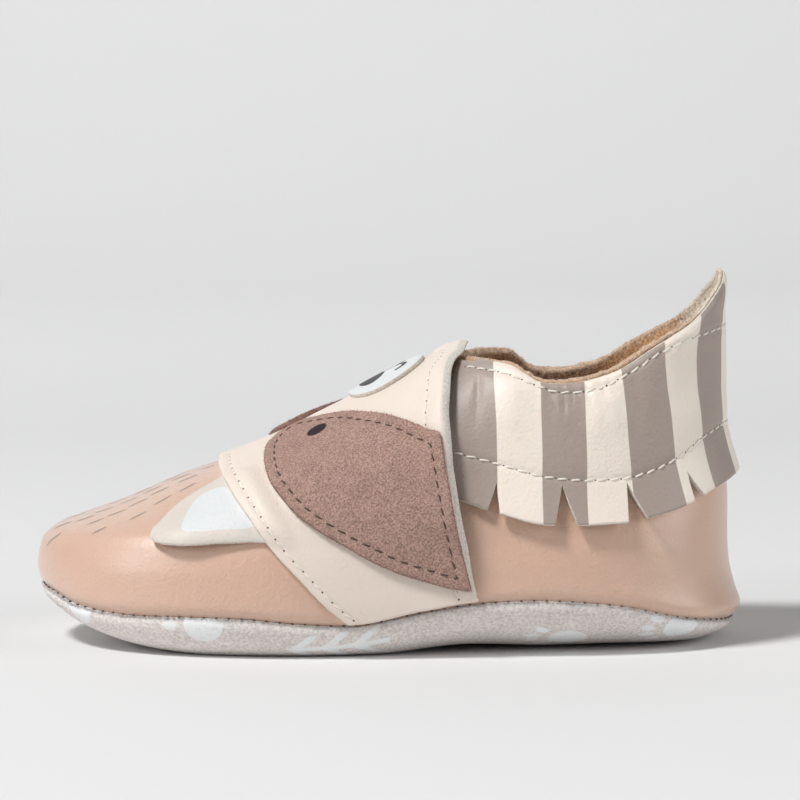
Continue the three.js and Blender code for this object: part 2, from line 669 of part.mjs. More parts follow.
// Cuff: a band round the ankle that rises to a tab at the heel and is cut into a loose fringe below.
function heelCuff() {
  const columns = cuffColumns();
  const bandRows = [0, 0.2, 0.45, 1];
  const fringeRows = [0.35, 0.7, 1];
  const places = [...bandRows, ...fringeRows.map((row) => 1 + row)].flatMap((row) =>
    columns.map((column) => ({ column, row })),
  );
  const skin = (above) => places.map(({ column, row }) => {
    const far = Math.abs(column.high);
    const stitch = CUFF_STITCH_HEIGHT + FRINGE_LENGTH * cuffStitch(far);
    const low = Math.abs(column.low);
    const hem = CUFF_STITCH_HEIGHT + FRINGE_LENGTH * cuffHem(low);
    const bottom = hem + FRINGE_LENGTH * column.cut;
    const top = openingHeight(column.high) - CUFF_DROP;
    const loose = Math.max(0, row - 1);
    const z = row <= 1 ? mix(top, stitch, row) : mix(stitch, bottom, loose);
    const place = mix(column.high, column.low, loose);
    const nearFront = ease(Math.abs(place), 46, 52);
    const rise = clamp((z - CUFF_STITCH_HEIGHT) / (INSTEP_HEIGHT - CUFF_STITCH_HEIGHT), 0, 1);
    const lean = CUFF_LEAN * nearFront * rise ** 2;
    const point = wallPoint(place - Math.sign(place) * lean, z);
    const flare = mix(FRINGE_HEEL_FLARE, FRINGE_FLARE, ease(Math.abs(place), 4, 16));
    const drop = clamp((stitch - z) / FRINGE_LENGTH, 0, 1);
    const overCollar = 0.35 * ease(Math.abs(place), 36, 46) * rise;
    const loosened = flare * drop ** 1.5 * (1 - ease(Math.abs(place), 45, 50));
    return raise(point, CUFF_GAP + overCollar + loosened + above);
  });
  const outerSkin = skin(CUFF_LEATHER);
  const rows = bandRows.length + fringeRows.length - 1;
  const faces = gridFaces(outerSkin, rows, columns.length - 1, false);
  return thickSheet('heel_cuff', '#a79c93', 0.5, outerSkin, skin(0), faces);
}

const slipper = new THREE.Group();
slipper.add(upper());
slipper.add(sole());
slipper.add(insole());
slipper.add(instepPanel());
slipper.add(eyePatch('eye_patch_outer', -1));
slipper.add(eyePatch('eye_patch_inner', 1));
slipper.add(nosePatch());
slipper.add(ear('ear_outer', -1));
slipper.add(ear('ear_inner', 1));
slipper.add(heelCuff());

export default slipper;
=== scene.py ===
# %% [markdown]
# A soft leather baby slipper
#
# The slipper is built around a fixed frame: the solids that were packed from the CAD part. Blender adds
# what a solid can't hold, such as stitches, nap, cut edges, prints and folds. Everything is worked out in
# millimetres, on the same last as the solids, and turned to metres when a mesh is made. The toe points
# to -X, the outer side of the foot to -Y, and Z is up.

import math

import bpy
import numpy as np
from mathutils import Matrix, Vector


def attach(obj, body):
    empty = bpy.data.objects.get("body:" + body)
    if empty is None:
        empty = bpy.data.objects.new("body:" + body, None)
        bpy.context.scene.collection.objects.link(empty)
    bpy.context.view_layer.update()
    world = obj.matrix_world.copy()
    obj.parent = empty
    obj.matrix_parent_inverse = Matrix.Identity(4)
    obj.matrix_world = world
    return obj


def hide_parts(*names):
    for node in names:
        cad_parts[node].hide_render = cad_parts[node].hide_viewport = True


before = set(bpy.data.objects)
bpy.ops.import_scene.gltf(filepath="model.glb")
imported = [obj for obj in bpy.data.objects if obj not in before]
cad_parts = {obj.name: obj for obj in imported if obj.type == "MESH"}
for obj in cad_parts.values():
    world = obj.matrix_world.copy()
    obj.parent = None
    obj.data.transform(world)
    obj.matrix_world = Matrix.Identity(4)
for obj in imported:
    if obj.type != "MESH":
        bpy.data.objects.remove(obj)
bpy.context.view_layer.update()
MM = 0.001
print("CAD nodes:", sorted(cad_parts))

# %% [markdown]
# The view
#
# The picture was taken with a long lens from a little above the floor, square to the slipper's side. A
# camera 700 mm away with a 178 mm lens gives the same mild perspective. The target is the point that lies
# in the middle of the frame, and a third of a degree of roll levels the floor line.

# %% Camera
CAMERA_TARGET = Vector((2.2, 0, 42.0)) * MM
CAMERA_DISTANCE = 700 * MM
CAMERA_ELEVATION = math.radians(5.5)
CAMERA_ROLL = math.radians(0.3)
CAMERA_LENS = 177.7

back = Vector((0, -math.cos(CAMERA_ELEVATION), math.sin(CAMERA_ELEVATION)))
camera = bpy.data.objects.new("view_camera", bpy.data.cameras.new("view_camera"))
camera.data.lens = CAMERA_LENS
camera.data.clip_start = 0.01
camera.location = CAMERA_TARGET + back * CAMERA_DISTANCE
camera.rotation_mode = "QUATERNION"
level_turn = (-back).to_track_quat("-Z", "Y")
camera.rotation_quaternion = level_turn @ Matrix.Rotation(-CAMERA_ROLL, 3, "Z").to_quaternion()
bpy.context.scene.collection.objects.link(camera)
bpy.context.scene.camera = camera
print("camera at", [round(v, 3) for v in camera.location])

# %% [markdown]
# Colours and nodes
#
# Colours are picked as the hex values that a screen shows. Blender's shaders work in linear light, so one
# function turns each value over. A second small function adds any node with its settings and its links,
# which keeps each material down to the lines that say what it looks like.

# %% Helpers for materials
def colour(hex_value):
    """Linear colour with alpha from an sRGB hex value."""
    channels = [int(hex_value[i : i + 2], 16) / 255 for i in (1, 3, 5)]
    linear = [c / 12.92 if c <= 0.04045 else ((c + 0.055) / 1.055) ** 2.4 for c in channels]
    return (*linear, 1.0)


def add_node(tree, kind, settings=None, links=None):
    """A node of that kind. A setting is one of its properties, or else the value of a socket."""
    node = tree.nodes.new("ShaderNode" + kind)
    for name, value in (settings or {}).items():
        if isinstance(name, str) and hasattr(node, name):
            setattr(node, name, value)
        else:
            node.inputs[name].default_value = value
    for name, source in (links or {}).items():
        tree.links.new(source, node.inputs[name])
    return node


def new_material(name):
    """An empty material, its node tree and its output node."""
    material = bpy.data.materials.new(name)
    material.use_nodes = True
    material.node_tree.nodes.clear()
    return material, material.node_tree, add_node(material.node_tree, "OutputMaterial")


def per_metre(size_mm):
    """The texture scale at which one cell of a pattern is that many millimetres across."""
    return 1 / (size_mm * MM)


print("mid grey in linear light:", round(colour("#808080")[0], 3))

# %% [markdown]
# The studio
#
# A plain pale floor runs up into a backdrop in one soft curve, so that no horizon shows. A small soft box
# hangs high over the toe: it gives the leather its gleam, and its shadows, under the ear, behind the panel
# and below the fringe, are short and fairly crisp. Two larger panels fill them, one ahead of the toe and
# one behind the heel. A fourth lights the backdrop alone, and a pale world lifts what is left. To settle
# the powers, render each light by itself: light adds up, so the sum of the pictures tells what each does.

# %% Floor and lights
FLOOR_HALF_WIDTH = 3.0
FLOOR_FRONT = -2.0
BEND_START = 0.9
BEND_RADIUS = 0.6
BEND_STEPS = 12
BACKDROP_TOP = 3.0
LIGHTS = (
    # name, place and size in metres, power in watts, target
    ("top_panel", (-0.85, -0.55, 1.62), 0.38, 28.0, (0, 0, 0.03)),
    ("front_panel", (-1.6, -1.0, 0.75), 0.8, 9.5, (0, 0, 0.03)),
    ("heel_panel", (1.4, -0.4, 0.6), 0.8, 7.5, (0, 0, 0.03)),
    ("backdrop_panel", (0.0, 0.45, 1.1), 1.0, 5.2, (0, 1.5, 1.0)),
)


def make_floor():
    """A sheet of pale paper that lies flat and then curves up behind the slipper."""
    profile = [(FLOOR_FRONT, 0.0), (BEND_START, 0.0)]
    for step in range(1, BEND_STEPS + 1):
        turn = step / BEND_STEPS * math.pi / 2
        y = BEND_START + BEND_RADIUS * math.sin(turn)
        profile.append((y, BEND_RADIUS - BEND_RADIUS * math.cos(turn)))
    profile.append((BEND_START + BEND_RADIUS, BACKDROP_TOP))
    points = [(x, y, z) for y, z in profile for x in (-FLOOR_HALF_WIDTH, FLOOR_HALF_WIDTH)]
    faces = [(2 * i, 2 * i + 1, 2 * i + 3, 2 * i + 2) for i in range(len(profile) - 1)]
    mesh = bpy.data.meshes.new("floor")
    mesh.from_pydata(points, [], faces)
    mesh.shade_smooth()
    floor = bpy.data.objects.new("floor", mesh)
    bpy.context.scene.collection.objects.link(floor)
    material, tree, output = new_material("pale_paper")
    paper = add_node(tree, "BsdfPrincipled", {"Base Color": colour("#e3e3e3"), "Roughness": 0.9})
    tree.links.new(paper.outputs["BSDF"], output.inputs["Surface"])
    mesh.materials.append(material)
    return floor


def make_light(name, place, size, power, target):
    """A square soft box that faces the target."""
    light = bpy.data.lights.new(name, "AREA")
    light.size = size
    light.energy = power
    lamp = bpy.data.objects.new(name, light)
    lamp.location = place
    lamp.rotation_mode = "QUATERNION"
    lamp.rotation_quaternion = (Vector(target) - Vector(place)).to_track_quat("-Z", "Y")
    bpy.context.scene.collection.objects.link(lamp)
    return lamp


floor = make_floor()
for light in LIGHTS:
    make_light(*light)
world = bpy.data.worlds.new("studio")
world.use_nodes = True
room_light = world.node_tree.nodes["Background"]
room_light.inputs["Color"].default_value = colour("#f4f5f7")
room_light.inputs["Strength"].default_value = 0.14
bpy.context.scene.world = world
bpy.context.scene.view_settings.view_transform = "Standard"

# %% [markdown]
# The last
#
# A shoemaker shapes a slipper on a last, a solid copy of the foot. Here the last is a formula: at each
# height its level section is an oval whose toe, heel, width and squareness are read from a short table.
# The same table makes the solids, so the pieces below fit them without any moving about. A curve through
# the rows that never overshoots keeps the surface free of ripples.

# %% Sizes and smooth tables
LENGTH = 125.0
BALL_WIDTH = 58.0
INSTEP_HEIGHT = 50.6
COLLAR_HEIGHT = 46.8
TAB_HEIGHT = 64.6
SEAM_HEIGHT = 10.0
TOE_SPRING = 6.0
ARCH_RAISE = 0.8
TOE_TURN = 3.0
OUTER_WAIST = 1.3
INNER_WAIST = 3.2
INNER_SAG = 1.5
WALL = 2.0
LEATHER = 1.0


def smooth_curve(at, value):
    """A function through the given points that bends smoothly and never overshoots them."""
    at, value = np.array(at, float), np.array(value, float)
    chord = np.diff(value) / np.diff(at)
    slope = np.concatenate([chord[:1], np.zeros(len(chord) - 1), chord[-1:]])
    product = chord[:-1] * chord[1:]
    rising = np.flatnonzero(product > 0)
    slope[rising + 1] = 2 * product[rising] / (chord[rising] + chord[rising + 1])

    def curve(x):
        x = np.asarray(x, float)
        i = np.clip(np.searchsorted(at, x, side="right") - 1, 0, len(at) - 2)
        step = at[i + 1] - at[i]
        t = (x - at[i]) / step
        inside = np.clip(t, 0, 1)
        ahead = inside**2 * (3 - 2 * inside)
        bend = slope[i] * (inside - 2 * inside**2 + inside**3)
        bend = bend + slope[i + 1] * (inside**3 - inside**2)
        beyond = slope[i] * np.minimum(t, 0) + slope[i + 1] * np.maximum(t - 1, 0)
        return value[i] + (value[i + 1] - value[i]) * ahead + step * (bend + beyond)

    return curve


def table_curves(columns, rows):
    """One smooth curve for each column after the first, by the values of the first."""
    values = np.array(rows, float).T
    return {name: smooth_curve(values[0], column) for name, column in zip(columns[1:], values[1:])}


def ease(value, low, high):
    """0 below low, 1 above high, and a smooth step between them."""
    t = np.clip((np.asarray(value, float) - low) / (high - low), 0, 1)
    return t * t * (3 - 2 * t)


def mix(a, b, share):
    """The value that far on the way from a to b."""
    return a + (b - a) * share


print("a smooth step at a quarter of its way:", float(ease(0.25, 0, 1)))

# %% [markdown]
# The shape in tables
#
# One table with a row for each level holds the whole foot in a few lines. Its numbers are shares of the
# length, the ball's width and the instep's height, so a larger slipper needs no new table. Three more
# hold the height of the seam, the edge of the foot opening and the sole's flat underside. To find such
# rows, draw the formula's outline over a side view and move one row at a time until the two agree.

# %% Tables of the last
LAST = table_curves(
    ("height", "toe", "widest", "heel", "half", "toe_power", "heel_power"),
    (
        (0.0, -0.468, -0.04, 0.472, 0.472, 3.0, 4.2),
        (0.06, -0.48, -0.04, 0.488, 0.488, 3.0, 4.2),
        (0.12, -0.49, -0.04, 0.499, 0.497, 3.0, 4.2),
        (0.18, -0.494, -0.04, 0.492, 0.5, 3.0, 4.1),
        (0.27, -0.5, -0.032, 0.484, 0.495, 3.0, 4.0),
        (0.345, -0.494, -0.024, 0.482, 0.486, 2.9, 3.9),
        (0.395, -0.474, -0.016, 0.482, 0.476, 2.8, 3.8),
        (0.43, -0.437, -0.008, 0.482, 0.469, 2.7, 3.7),
        (0.48, -0.379, 0.008, 0.482, 0.457, 2.6, 3.5),
        (0.57, -0.294, 0.048, 0.48, 0.431, 2.4, 3.2),
        (0.67, -0.176, 0.096, 0.475, 0.4, 2.3, 3.0),
        (0.79, -0.075, 0.16, 0.47, 0.359, 2.2, 2.8),
        (0.91, 0.026, 0.224, 0.467, 0.321, 2.2, 2.5),
        (1.0, 0.107, 0.264, 0.467, 0.3, 2.2, 2.4),
        (1.13, 0.192, 0.304, 0.469, 0.29, 2.2, 2.4),
        (1.28, 0.272, 0.336, 0.474, 0.283, 2.2, 2.4),
    ),
)
SEAM = table_curves(
    ("station", "height"),
    (
        (-0.5, 0.98), (-0.478, 0.94), (-0.436, 0.77), (-0.36, 0.7), (-0.264, 0.72), (-0.196, 0.7),
        (-0.124, 0.62), (-0.053, 0.58), (0.046, 0.8), (0.131, 0.96), (0.202, 1.0), (0.304, 0.9),
        (0.416, 0.57), (0.5, 0.32),
    ),
)
TOPLINE = table_curves(
    ("around", "throat", "tab"),
    (
        (0.0, 0.82, 0.0), (0.167, 0.95, 0.0), (0.306, 0.85, 0.0), (0.4, 0.45, 0.0), (0.467, 0.1, 0.0),
        (0.53, 0.0, 0.02), (0.589, 0.0, 0.11), (0.647, 0.0, 0.32), (0.694, 0.0, 0.43),
        (0.75, 0.0, 0.53), (0.811, 0.0, 0.67), (0.861, 0.0, 0.79), (0.933, 0.0, 0.9),
        (1.0, 0.0, 1.0), (1.067, 0.0, 0.89),
    ),
)
SOLE_FLAT = table_curves(
    ("station", "width", "rise", "arch"),
    (
        (-0.456, 0.6, 1.0, 0), (-0.408, 0.68, 0.53, 0), (-0.35, 0.73, 0.2, 0), (-0.29, 0.76, 0.04, 0),
        (-0.24, 0.78, 0, 0), (-0.12, 0.79, 0, 0), (-0.02, 0.74, 0, 0), (0.1, 0.52, 0, 1),
        (0.22, 0.36, 0, 0), (0.3, 0.31, 0, 0), (0.4, 0.3, 0, 0), (0.444, 0.3, 0.15, 0),
    ),
)
print("columns of the last's table:", sorted(LAST))

# %% [markdown]
# The surface
#
# With the tables, one formula tells whether a point is inside the last. Its slope points straight out of
# the surface, and that is all a sheet of leather needs: its underside is the surface, and its top is the
# same surface raised by the leather's thickness. A sculpted mesh could have the same look, but no other
# piece could then be laid on it to a tenth of a millimetre.

# %% The surface of the last
def centre_line(x):
    """The centre line bends inwards at the toe, as a foot does."""
    return TOE_TURN * (np.maximum(0, -0.12 * LENGTH - x) / (0.38 * LENGTH)) ** 2


def level_at(z):
    """The level section at height z, in millimetres."""
    share = z / INSTEP_HEIGHT
    size = {"toe": LENGTH, "widest": LENGTH, "heel": LENGTH, "half": BALL_WIDTH}
    return {name: curve(share) * size.get(name, 1) for name, curve in LAST.items()}


def half_squared(x, z, inner):
    """The square of the last's half width, below zero outside the last."""
    level = level_at(z)
    ahead = x < level["widest"]
    run = np.where(ahead, level["widest"] - level["toe"], level["heel"] - level["widest"])
    share = np.abs(x - level["widest"]) / run
    waist = np.exp(-(((x - 0.08 * LENGTH) / (0.144 * LENGTH)) ** 2))
    fade = np.clip(1 - z / INSTEP_HEIGHT, 0, 1)
    dip = np.where(inner, INNER_WAIST, OUTER_WAIST) * waist * fade / (BALL_WIDTH / 2)
    power = np.where(ahead, level["toe_power"], level["heel_power"])
    return level["half"] ** 2 * (1 - share**power) * (1 - dip) ** 2


def half_width(x, z, inner):
    """The last's half width at a station and a height, on the inner or the outer side."""
    return np.sqrt(np.maximum(0, half_squared(x, z, inner)))


def outward(points):
    """Unit directions that point straight out of the last."""

    def field(x, y, z):
        aside = y - centre_line(x)
        return aside**2 - half_squared(x, z, aside > 0)

    x, y, z = points.T
    d = 0.05
    slope = np.stack(
        [
            field(x + d, y, z) - field(x - d, y, z),
            field(x, y + d, z) - field(x, y - d, z),
            field(x, y, z + d) - field(x, y, z - d),
        ],
        axis=1,
    )
    return slope / np.linalg.norm(slope, axis=1, keepdims=True)


def raised(points, height):
    """The points moved straight out of the last by a height each, in millimetres."""
    return points + outward(points) * np.broadcast_to(height, len(points))[:, None]


print("ball is", round(float(half_width(-5.0, 9.0, False) * 2), 1), "mm wide")

# %% [markdown]
# Finding places
#
# A maker marks a skin by where it will lie on the foot, and the pieces are placed here in the same way.
# The upper runs round the foot like a wall, so turns and heights suit it. Panel, patches and ears lie
# over the toes, and for them a station along the slipper and the way down from the ridge are better,
# because distances on the leather stay true.

# %% Places on the last
def level_point(turn, z):
    """Round a level section: turn is 0 at the toe and pi at the heel, below zero on the outer side."""
    level = level_at(z)
    c = np.cos(turn)
    run = np.where(c > 0, level["widest"] - level["toe"], level["heel"] - level["widest"])
    x = level["widest"] - c * run
    inner = turn > 0
    y = centre_line(x) + np.where(inner, 1, -1) * half_width(x, z, inner)
    return np.stack([x, y, z + 0 * x], axis=1)


def seam_height(x):
    """Height of the seam between upper and sole."""
    return SEAM_HEIGHT * SEAM["height"](x / LENGTH)


def seam_point(turn, above):
    """On the last at that height above the seam. Height and station settle each other in a few rounds."""
    point = level_point(turn, np.full(len(turn), SEAM_HEIGHT))
    for _ in range(12):
        point = level_point(turn, seam_height(point[:, 0]) + above)
    return point


def topline_height(turn):
    """Height of the foot opening's edge, which sags a little on the inner side."""
    around = np.abs(turn) / math.pi
    throat = (INSTEP_HEIGHT - COLLAR_HEIGHT) * TOPLINE["throat"](around)
    sagging = INNER_SAG * ease(around, 0.33, 0.64) * (1 - ease(around, 0.64, 0.92)) * (turn > 0)
    return COLLAR_HEIGHT + throat + (TAB_HEIGHT - COLLAR_HEIGHT) * TOPLINE["tab"](around) - sagging


def ridge_height(x):
    """Height of the last's ridge ahead of the throat."""
    low = np.full(len(x), 0.27 * INSTEP_HEIGHT)
    high = np.full(len(x), 1.28 * INSTEP_HEIGHT)
    for _ in range(40):
        middle = (low + high) / 2
        below = level_at(middle)["toe"] < x
        low, high = np.where(below, middle, low), np.where(below, high, middle)
    return low


def vamp_section(x, inner, steps=64):
    """The upright section at each station: heights and distances along it from the ridge down."""
    top, foot = ridge_height(x), seam_height(x)
    rise = np.cos(np.linspace(0, math.pi / 2, steps + 1)) ** 0.9
    z = foot[:, None] + (top - foot)[:, None] * rise
    aside = half_width(x[:, None], z, inner[:, None])
    aside[:, 0] = 0
    step = np.hypot(np.diff(aside, axis=1), np.diff(z, axis=1))
    length = np.concatenate([np.zeros((len(x), 1)), np.cumsum(step, axis=1)], axis=1)
    return top, foot, length


def vamp_point(x, down):
    """On the upright section at station x: down runs from the ridge (0) to the seam (1)."""
    x, down = np.asarray(x, float), np.asarray(down, float)
    inner = down > 0
    top, foot, length = vamp_section(x, inner)
    steps = length.shape[1] - 1
    target = np.clip(np.abs(down), 0, 1) * length[:, -1]
    i = np.clip((length < target[:, None]).sum(axis=1) - 1, 0, steps - 1)
    rows = np.arange(len(x))
    share = (target - length[rows, i]) / (length[rows, i + 1] - length[rows, i])
    turn = np.clip((i + share) / steps * math.pi / 2, 0, math.pi / 2)
    z = mix(foot, top, np.cos(turn) ** 0.9)
    aside = half_width(x, z, inner)
    return np.stack([x, centre_line(x) + np.where(inner, aside, -aside), z], axis=1)


print("ridge above the ball, in mm:", round(float(ridge_height(np.array([-20.0]))[0]), 1))

# %% [markdown]
# The heel wall
#
# The cuff is a flat strip that is wrapped round the ankle, so its places are counted on the strip: so many
# millimetres from the centre of the back, and a height. Round the heel, a ray from an upright axis is cut
# where it leaves the last, which forty halvings of an interval find exactly. Ahead of the heel the strip
# simply follows the side.

# %% Places on the heel wall
HEEL_RADIUS = 18.0
HEEL_AXIS = 35.0
HEEL_QUARTER = HEEL_RADIUS * math.pi / 2


def wall_point(place, z):
    """On the heel wall: place is the distance from the centre of the back, below zero outside."""
    place, z = np.broadcast_arrays(np.asarray(place, float), np.asarray(z, float))
    inner = place > 0
    far = np.abs(place)
    side = np.where(inner, 1, -1)
    ahead_x = HEEL_AXIS - (far - HEEL_QUARTER)
    ahead = np.stack([ahead_x, centre_line(ahead_x) + side * half_width(ahead_x, z, inner), z], axis=1)
    angle = np.minimum(far, HEEL_QUARTER) / HEEL_RADIUS
    low, high = np.zeros(len(place)), np.full(len(place), LENGTH)
    for _ in range(40):
        reach = (low + high) / 2
        inside = (reach * np.sin(angle)) ** 2 < half_squared(HEEL_AXIS + reach * np.cos(angle), z, inner)
        low, high = np.where(inside, reach, low), np.where(inside, high, reach)
    round_part = np.stack([HEEL_AXIS + low * np.cos(angle), side * low * np.sin(angle), z], axis=1)
    return np.where((far >= HEEL_QUARTER)[:, None], ahead, round_part)


def opening_height(place):
    """Height of the foot opening's edge above a place on the heel wall."""
    z = np.full(len(place), COLLAR_HEIGHT)
    for _ in range(30):
        x = wall_point(place, z)[:, 0]
        level = level_at(z)
        run = np.where(x < level["widest"], level["widest"] - level["toe"], level["heel"] - level["widest"])
        turn = np.copysign(np.arccos(np.clip((level["widest"] - x) / run, -1, 1)), place)
        z = mix(z, topline_height(turn), 0.5)
    return z


print("opening beside the ankle, in mm:", np.round(opening_height(np.array([-30.0, 30.0])), 1))

# %% [markdown]
# Sheets of leather
#
# Every piece of the slipper is cut from a flat skin, so every mesh here is made the same way: a grid of
# points for the top, a second one below it, and a wall between them along the cut. The wall bulges a
# little, because a cutting die presses the skin before it parts it, and the corner stays soft. Top, cut
# and underside get a material each: grain on top, and raw fibres where the leather is cut and below.

# %% Mesh helpers
rng = np.random.default_rng(7)


def grid_faces(rows, columns, wrapped=False):
    """Faces of a grid with that many rows and columns of faces."""
    wide = columns if wrapped else columns + 1
    row, column = np.meshgrid(np.arange(rows), np.arange(columns), indexing="ij")
    row, column = row.ravel(), column.ravel()
    after = (column + 1) % wide
    corners = [row * wide + column, row * wide + after, (row + 1) * wide + after, (row + 1) * wide + column]
    return np.stack(corners, axis=1).tolist()


def fan_faces(rings, around):
    """Faces of rings of points round a middle point, which is point 0."""
    faces = [[0, 1 + step, 1 + (step + 1) % around] for step in range(around)]
    for ring in range(1, rings):
        for step in range(around):
            after = (step + 1) % around
            inner, outer = 1 + (ring - 1) * around, 1 + ring * around
            faces.append([inner + step, outer + step, outer + after, inner + after])
    return faces


def make_piece(name, points, faces, materials, picks=None, fields=None):
    """A mesh object from points in millimetres, riding on the slipper's one body."""
    mesh = bpy.data.meshes.new(name)
    mesh.from_pydata((np.asarray(points) * MM).tolist(), [], faces)
    for material in materials:
        mesh.materials.append(material)
    if picks is not None:
        mesh.polygons.foreach_set("material_index", picks)
    for field, values in (fields or {}).items():
        mesh.attributes.new(field, "FLOAT", "POINT").data.foreach_set("value", values)
    mesh.shade_smooth()
    mesh.update()
    piece = bpy.data.objects.new(name, mesh)
    bpy.context.scene.collection.objects.link(piece)
    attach(piece, "root")
    print(name, "has", len(faces), "faces")
    return piece


def edge_loops(faces):
    """The open edges of a sheet, joined into loops that run round it the way its faces do."""
    after = {}
    for face in faces:
        for a, b in zip(face, face[1:] + face[:1]):
            if after.get((b, a)) is None:
                after[(a, b)] = True
            else:
                del after[(b, a)]
    following = {a: b for a, b in after}
    loops = []
    while following:
        start, at = next(iter(following.items()))
        loop = [start]
        del following[start]
        while at != start:
            loop.append(at)
            at = following.pop(at)
        loops.append(loop)
    return loops


def leather_sheet(
    name, top, under, faces, materials, fields=None, bulge=0.1, rough_edge=0.03, top_picks=None
):
    """A closed sheet: top, cut edge and underside take the three materials, unless top_picks says else."""
    count = len(top)
    corner = np.array([face[:3] for face in faces])
    across = np.cross(top[corner[:, 1]] - top[corner[:, 0]], top[corner[:, 2]] - top[corner[:, 0]])
    if np.sum(across * (top - under)[corner[:, 0]]) < 0:
        faces = [face[::-1] for face in faces]
    points = [top, under]
    closed = faces + [[v + count for v in face[::-1]] for face in faces]
    picks = list(top_picks if top_picks is not None else [0] * len(faces)) + [2] * len(faces)
    source = [np.arange(count), np.arange(count)]
    total = 2 * count
    for loop in edge_loops(faces):
        loop = np.array(loop)
        through = top[loop] - under[loop]
        along = np.roll(top[loop], -1, axis=0) - np.roll(top[loop], 1, axis=0)
        out = np.cross(along, through)
        out /= np.linalg.norm(out, axis=1, keepdims=True) + 1e-9
        rings = [loop]
        for share in (0.18, 0.5, 0.82):
            ragged = bulge + rough_edge * rng.standard_normal(len(loop))
            points.append(top[loop] - through * share + out * ragged[:, None])
            rings.append(total + np.arange(len(loop)))
            source.append(loop)
            total += len(loop)
        rings.append(loop + count)
        for near, far in zip(rings, rings[1:]):
            near_next, far_next = np.roll(near, -1), np.roll(far, -1)
            closed += np.stack([near_next, near, far, far_next], axis=1).tolist()
            picks += [1] * len(loop)
    source = np.concatenate(source)
    spread = {field: np.asarray(values, float)[source] for field, values in (fields or {}).items()}
    return make_piece(name, np.concatenate(points), closed, materials, picks, spread)


print("a grid of 2 by 3 has", len(grid_faces(2, 3)), "faces")

# %% [markdown]
# Prints as distances
#
# The white shapes on the ears and the sole and the stripes on the cuff are printed. A print needs a crisp
# edge that doesn't depend on how fine the mesh is. So each point of the mesh stores its distance to the
# edge of the print, in millimetres and below zero inside it, and the shader cuts that distance at zero.

# %% Distances to outlines
def outline_curve(corners, count=160):
    """A closed smooth curve through the corners, as evenly spaced points."""
    corners = np.array(corners, float)
    n = len(corners)
    fine = []
    for i in range(n):
        a, b, c, d = (corners[(i + k) % n] for k in (-1, 0, 1, 2))
        pairs = ((a, b), (b, c), (c, d))
        knots = np.cumsum([0] + [math.sqrt(np.linalg.norm(q - p)) + 1e-9 for p, q in pairs])
        t = np.linspace(knots[1], knots[2], 24, endpoint=False)[:, None]
        ab = (a * (knots[1] - t) + b * (t - knots[0])) / (knots[1] - knots[0])
        bc = (b * (knots[2] - t) + c * (t - knots[1])) / (knots[2] - knots[1])
        cd = (c * (knots[3] - t) + d * (t - knots[2])) / (knots[3] - knots[2])
        abc = (ab * (knots[2] - t) + bc * (t - knots[0])) / (knots[2] - knots[0])
        bcd = (bc * (knots[3] - t) + cd * (t - knots[1])) / (knots[3] - knots[1])
        fine.append((abc * (knots[2] - t) + bcd * (t - knots[1])) / (knots[2] - knots[1]))
    return even_points(np.concatenate(fine + [fine[0][:1]]), count + 1)[:-1]


def even_points(line, count):
    """The line cut into points that are evenly spaced along it."""
    step = np.linalg.norm(np.diff(line, axis=0), axis=1)
    length = np.concatenate([[0], np.cumsum(step)])
    target = np.linspace(0, length[-1], count)
    return np.stack([np.interp(target, length, column) for column in line.T], axis=1)


def outline_distance(points, outline):
    """Distance of each flat point to a closed outline, below zero inside it."""
    start, end = outline, np.roll(outline, -1, axis=0)
    run = end - start
    best = np.full(len(points), np.inf)
    inside = np.zeros(len(points), bool)
    for (sx, sy), (rx, ry) in zip(start, run):
        px, py = points[:, 0] - sx, points[:, 1] - sy
        share = np.clip((px * rx + py * ry) / (rx * rx + ry * ry + 1e-12), 0, 1)
        best = np.minimum(best, np.hypot(px - share * rx, py - share * ry))
        crosses = (sy > points[:, 1]) != (sy + ry > points[:, 1])
        at = sx + rx * (points[:, 1] - sy) / (ry if ry else 1e-12)
        inside ^= crosses & (points[:, 0] < at)
    return np.where(inside, -best, best)


def oval_distance(points, middle, half_long, half_short, degrees=0.0):
    """Rough distance to an oval, below zero inside it."""
    turn = math.radians(degrees)
    px, py = points[:, 0] - middle[0], points[:, 1] - middle[1]
    along = px * math.cos(turn) + py * math.sin(turn)
    aside = -px * math.sin(turn) + py * math.cos(turn)
    ring = np.hypot(along / half_long, aside / half_short)
    return (ring - 1) * min(half_long, half_short)


print("middle of an oval 4 mm wide:", oval_distance(np.zeros((1, 2)), (0, 0), 3, 2)[0], "mm from its edge")

# %% [markdown]
# Smooth leather
#
# Toe, panel, ears and cuff are lamb or calf leather with a thin pigment finish: dyed through, sprayed and
# pressed. To the eye that is an even colour, a fine pebbled grain of about half a millimetre and a broad
# soft gleam. Voronoi cells give the pebbles, a finer noise the pores between them, and a slow noise the
# slight cloudiness of a skin. Leather is a dielectric with an IOR near 1.5. A clear wax on top is the
# coat, rougher than a lacquer, which widens the gleam, and a trace of sheen is its powdery bloom.

# %% Smooth leathers
GRAIN_MM = 0.55
PORE_MM = 0.16
CREASE_MM = 2.2
CLOUD_MM = 14.0


def shade(hex_value, factor):
    """The colour made a little lighter or darker."""
    return (*[min(1.0, c * factor) for c in colour(hex_value)[:3]], 1.0)


def print_mask(tree, field, soft_mm):
    """1 where the mesh's field is below zero, 0 above it, with an edge that many millimetres soft."""
    stored = add_node(tree, "Attribute", {"attribute_name": field}).outputs["Fac"]
    step = add_node(
        tree,
        "MapRange",
        {"From Min": soft_mm, "From Max": -soft_mm, "To Min": 0.0, "To Max": 1.0, "clamp": True},
        {"Value": stored},
    )
    return step.outputs["Result"]


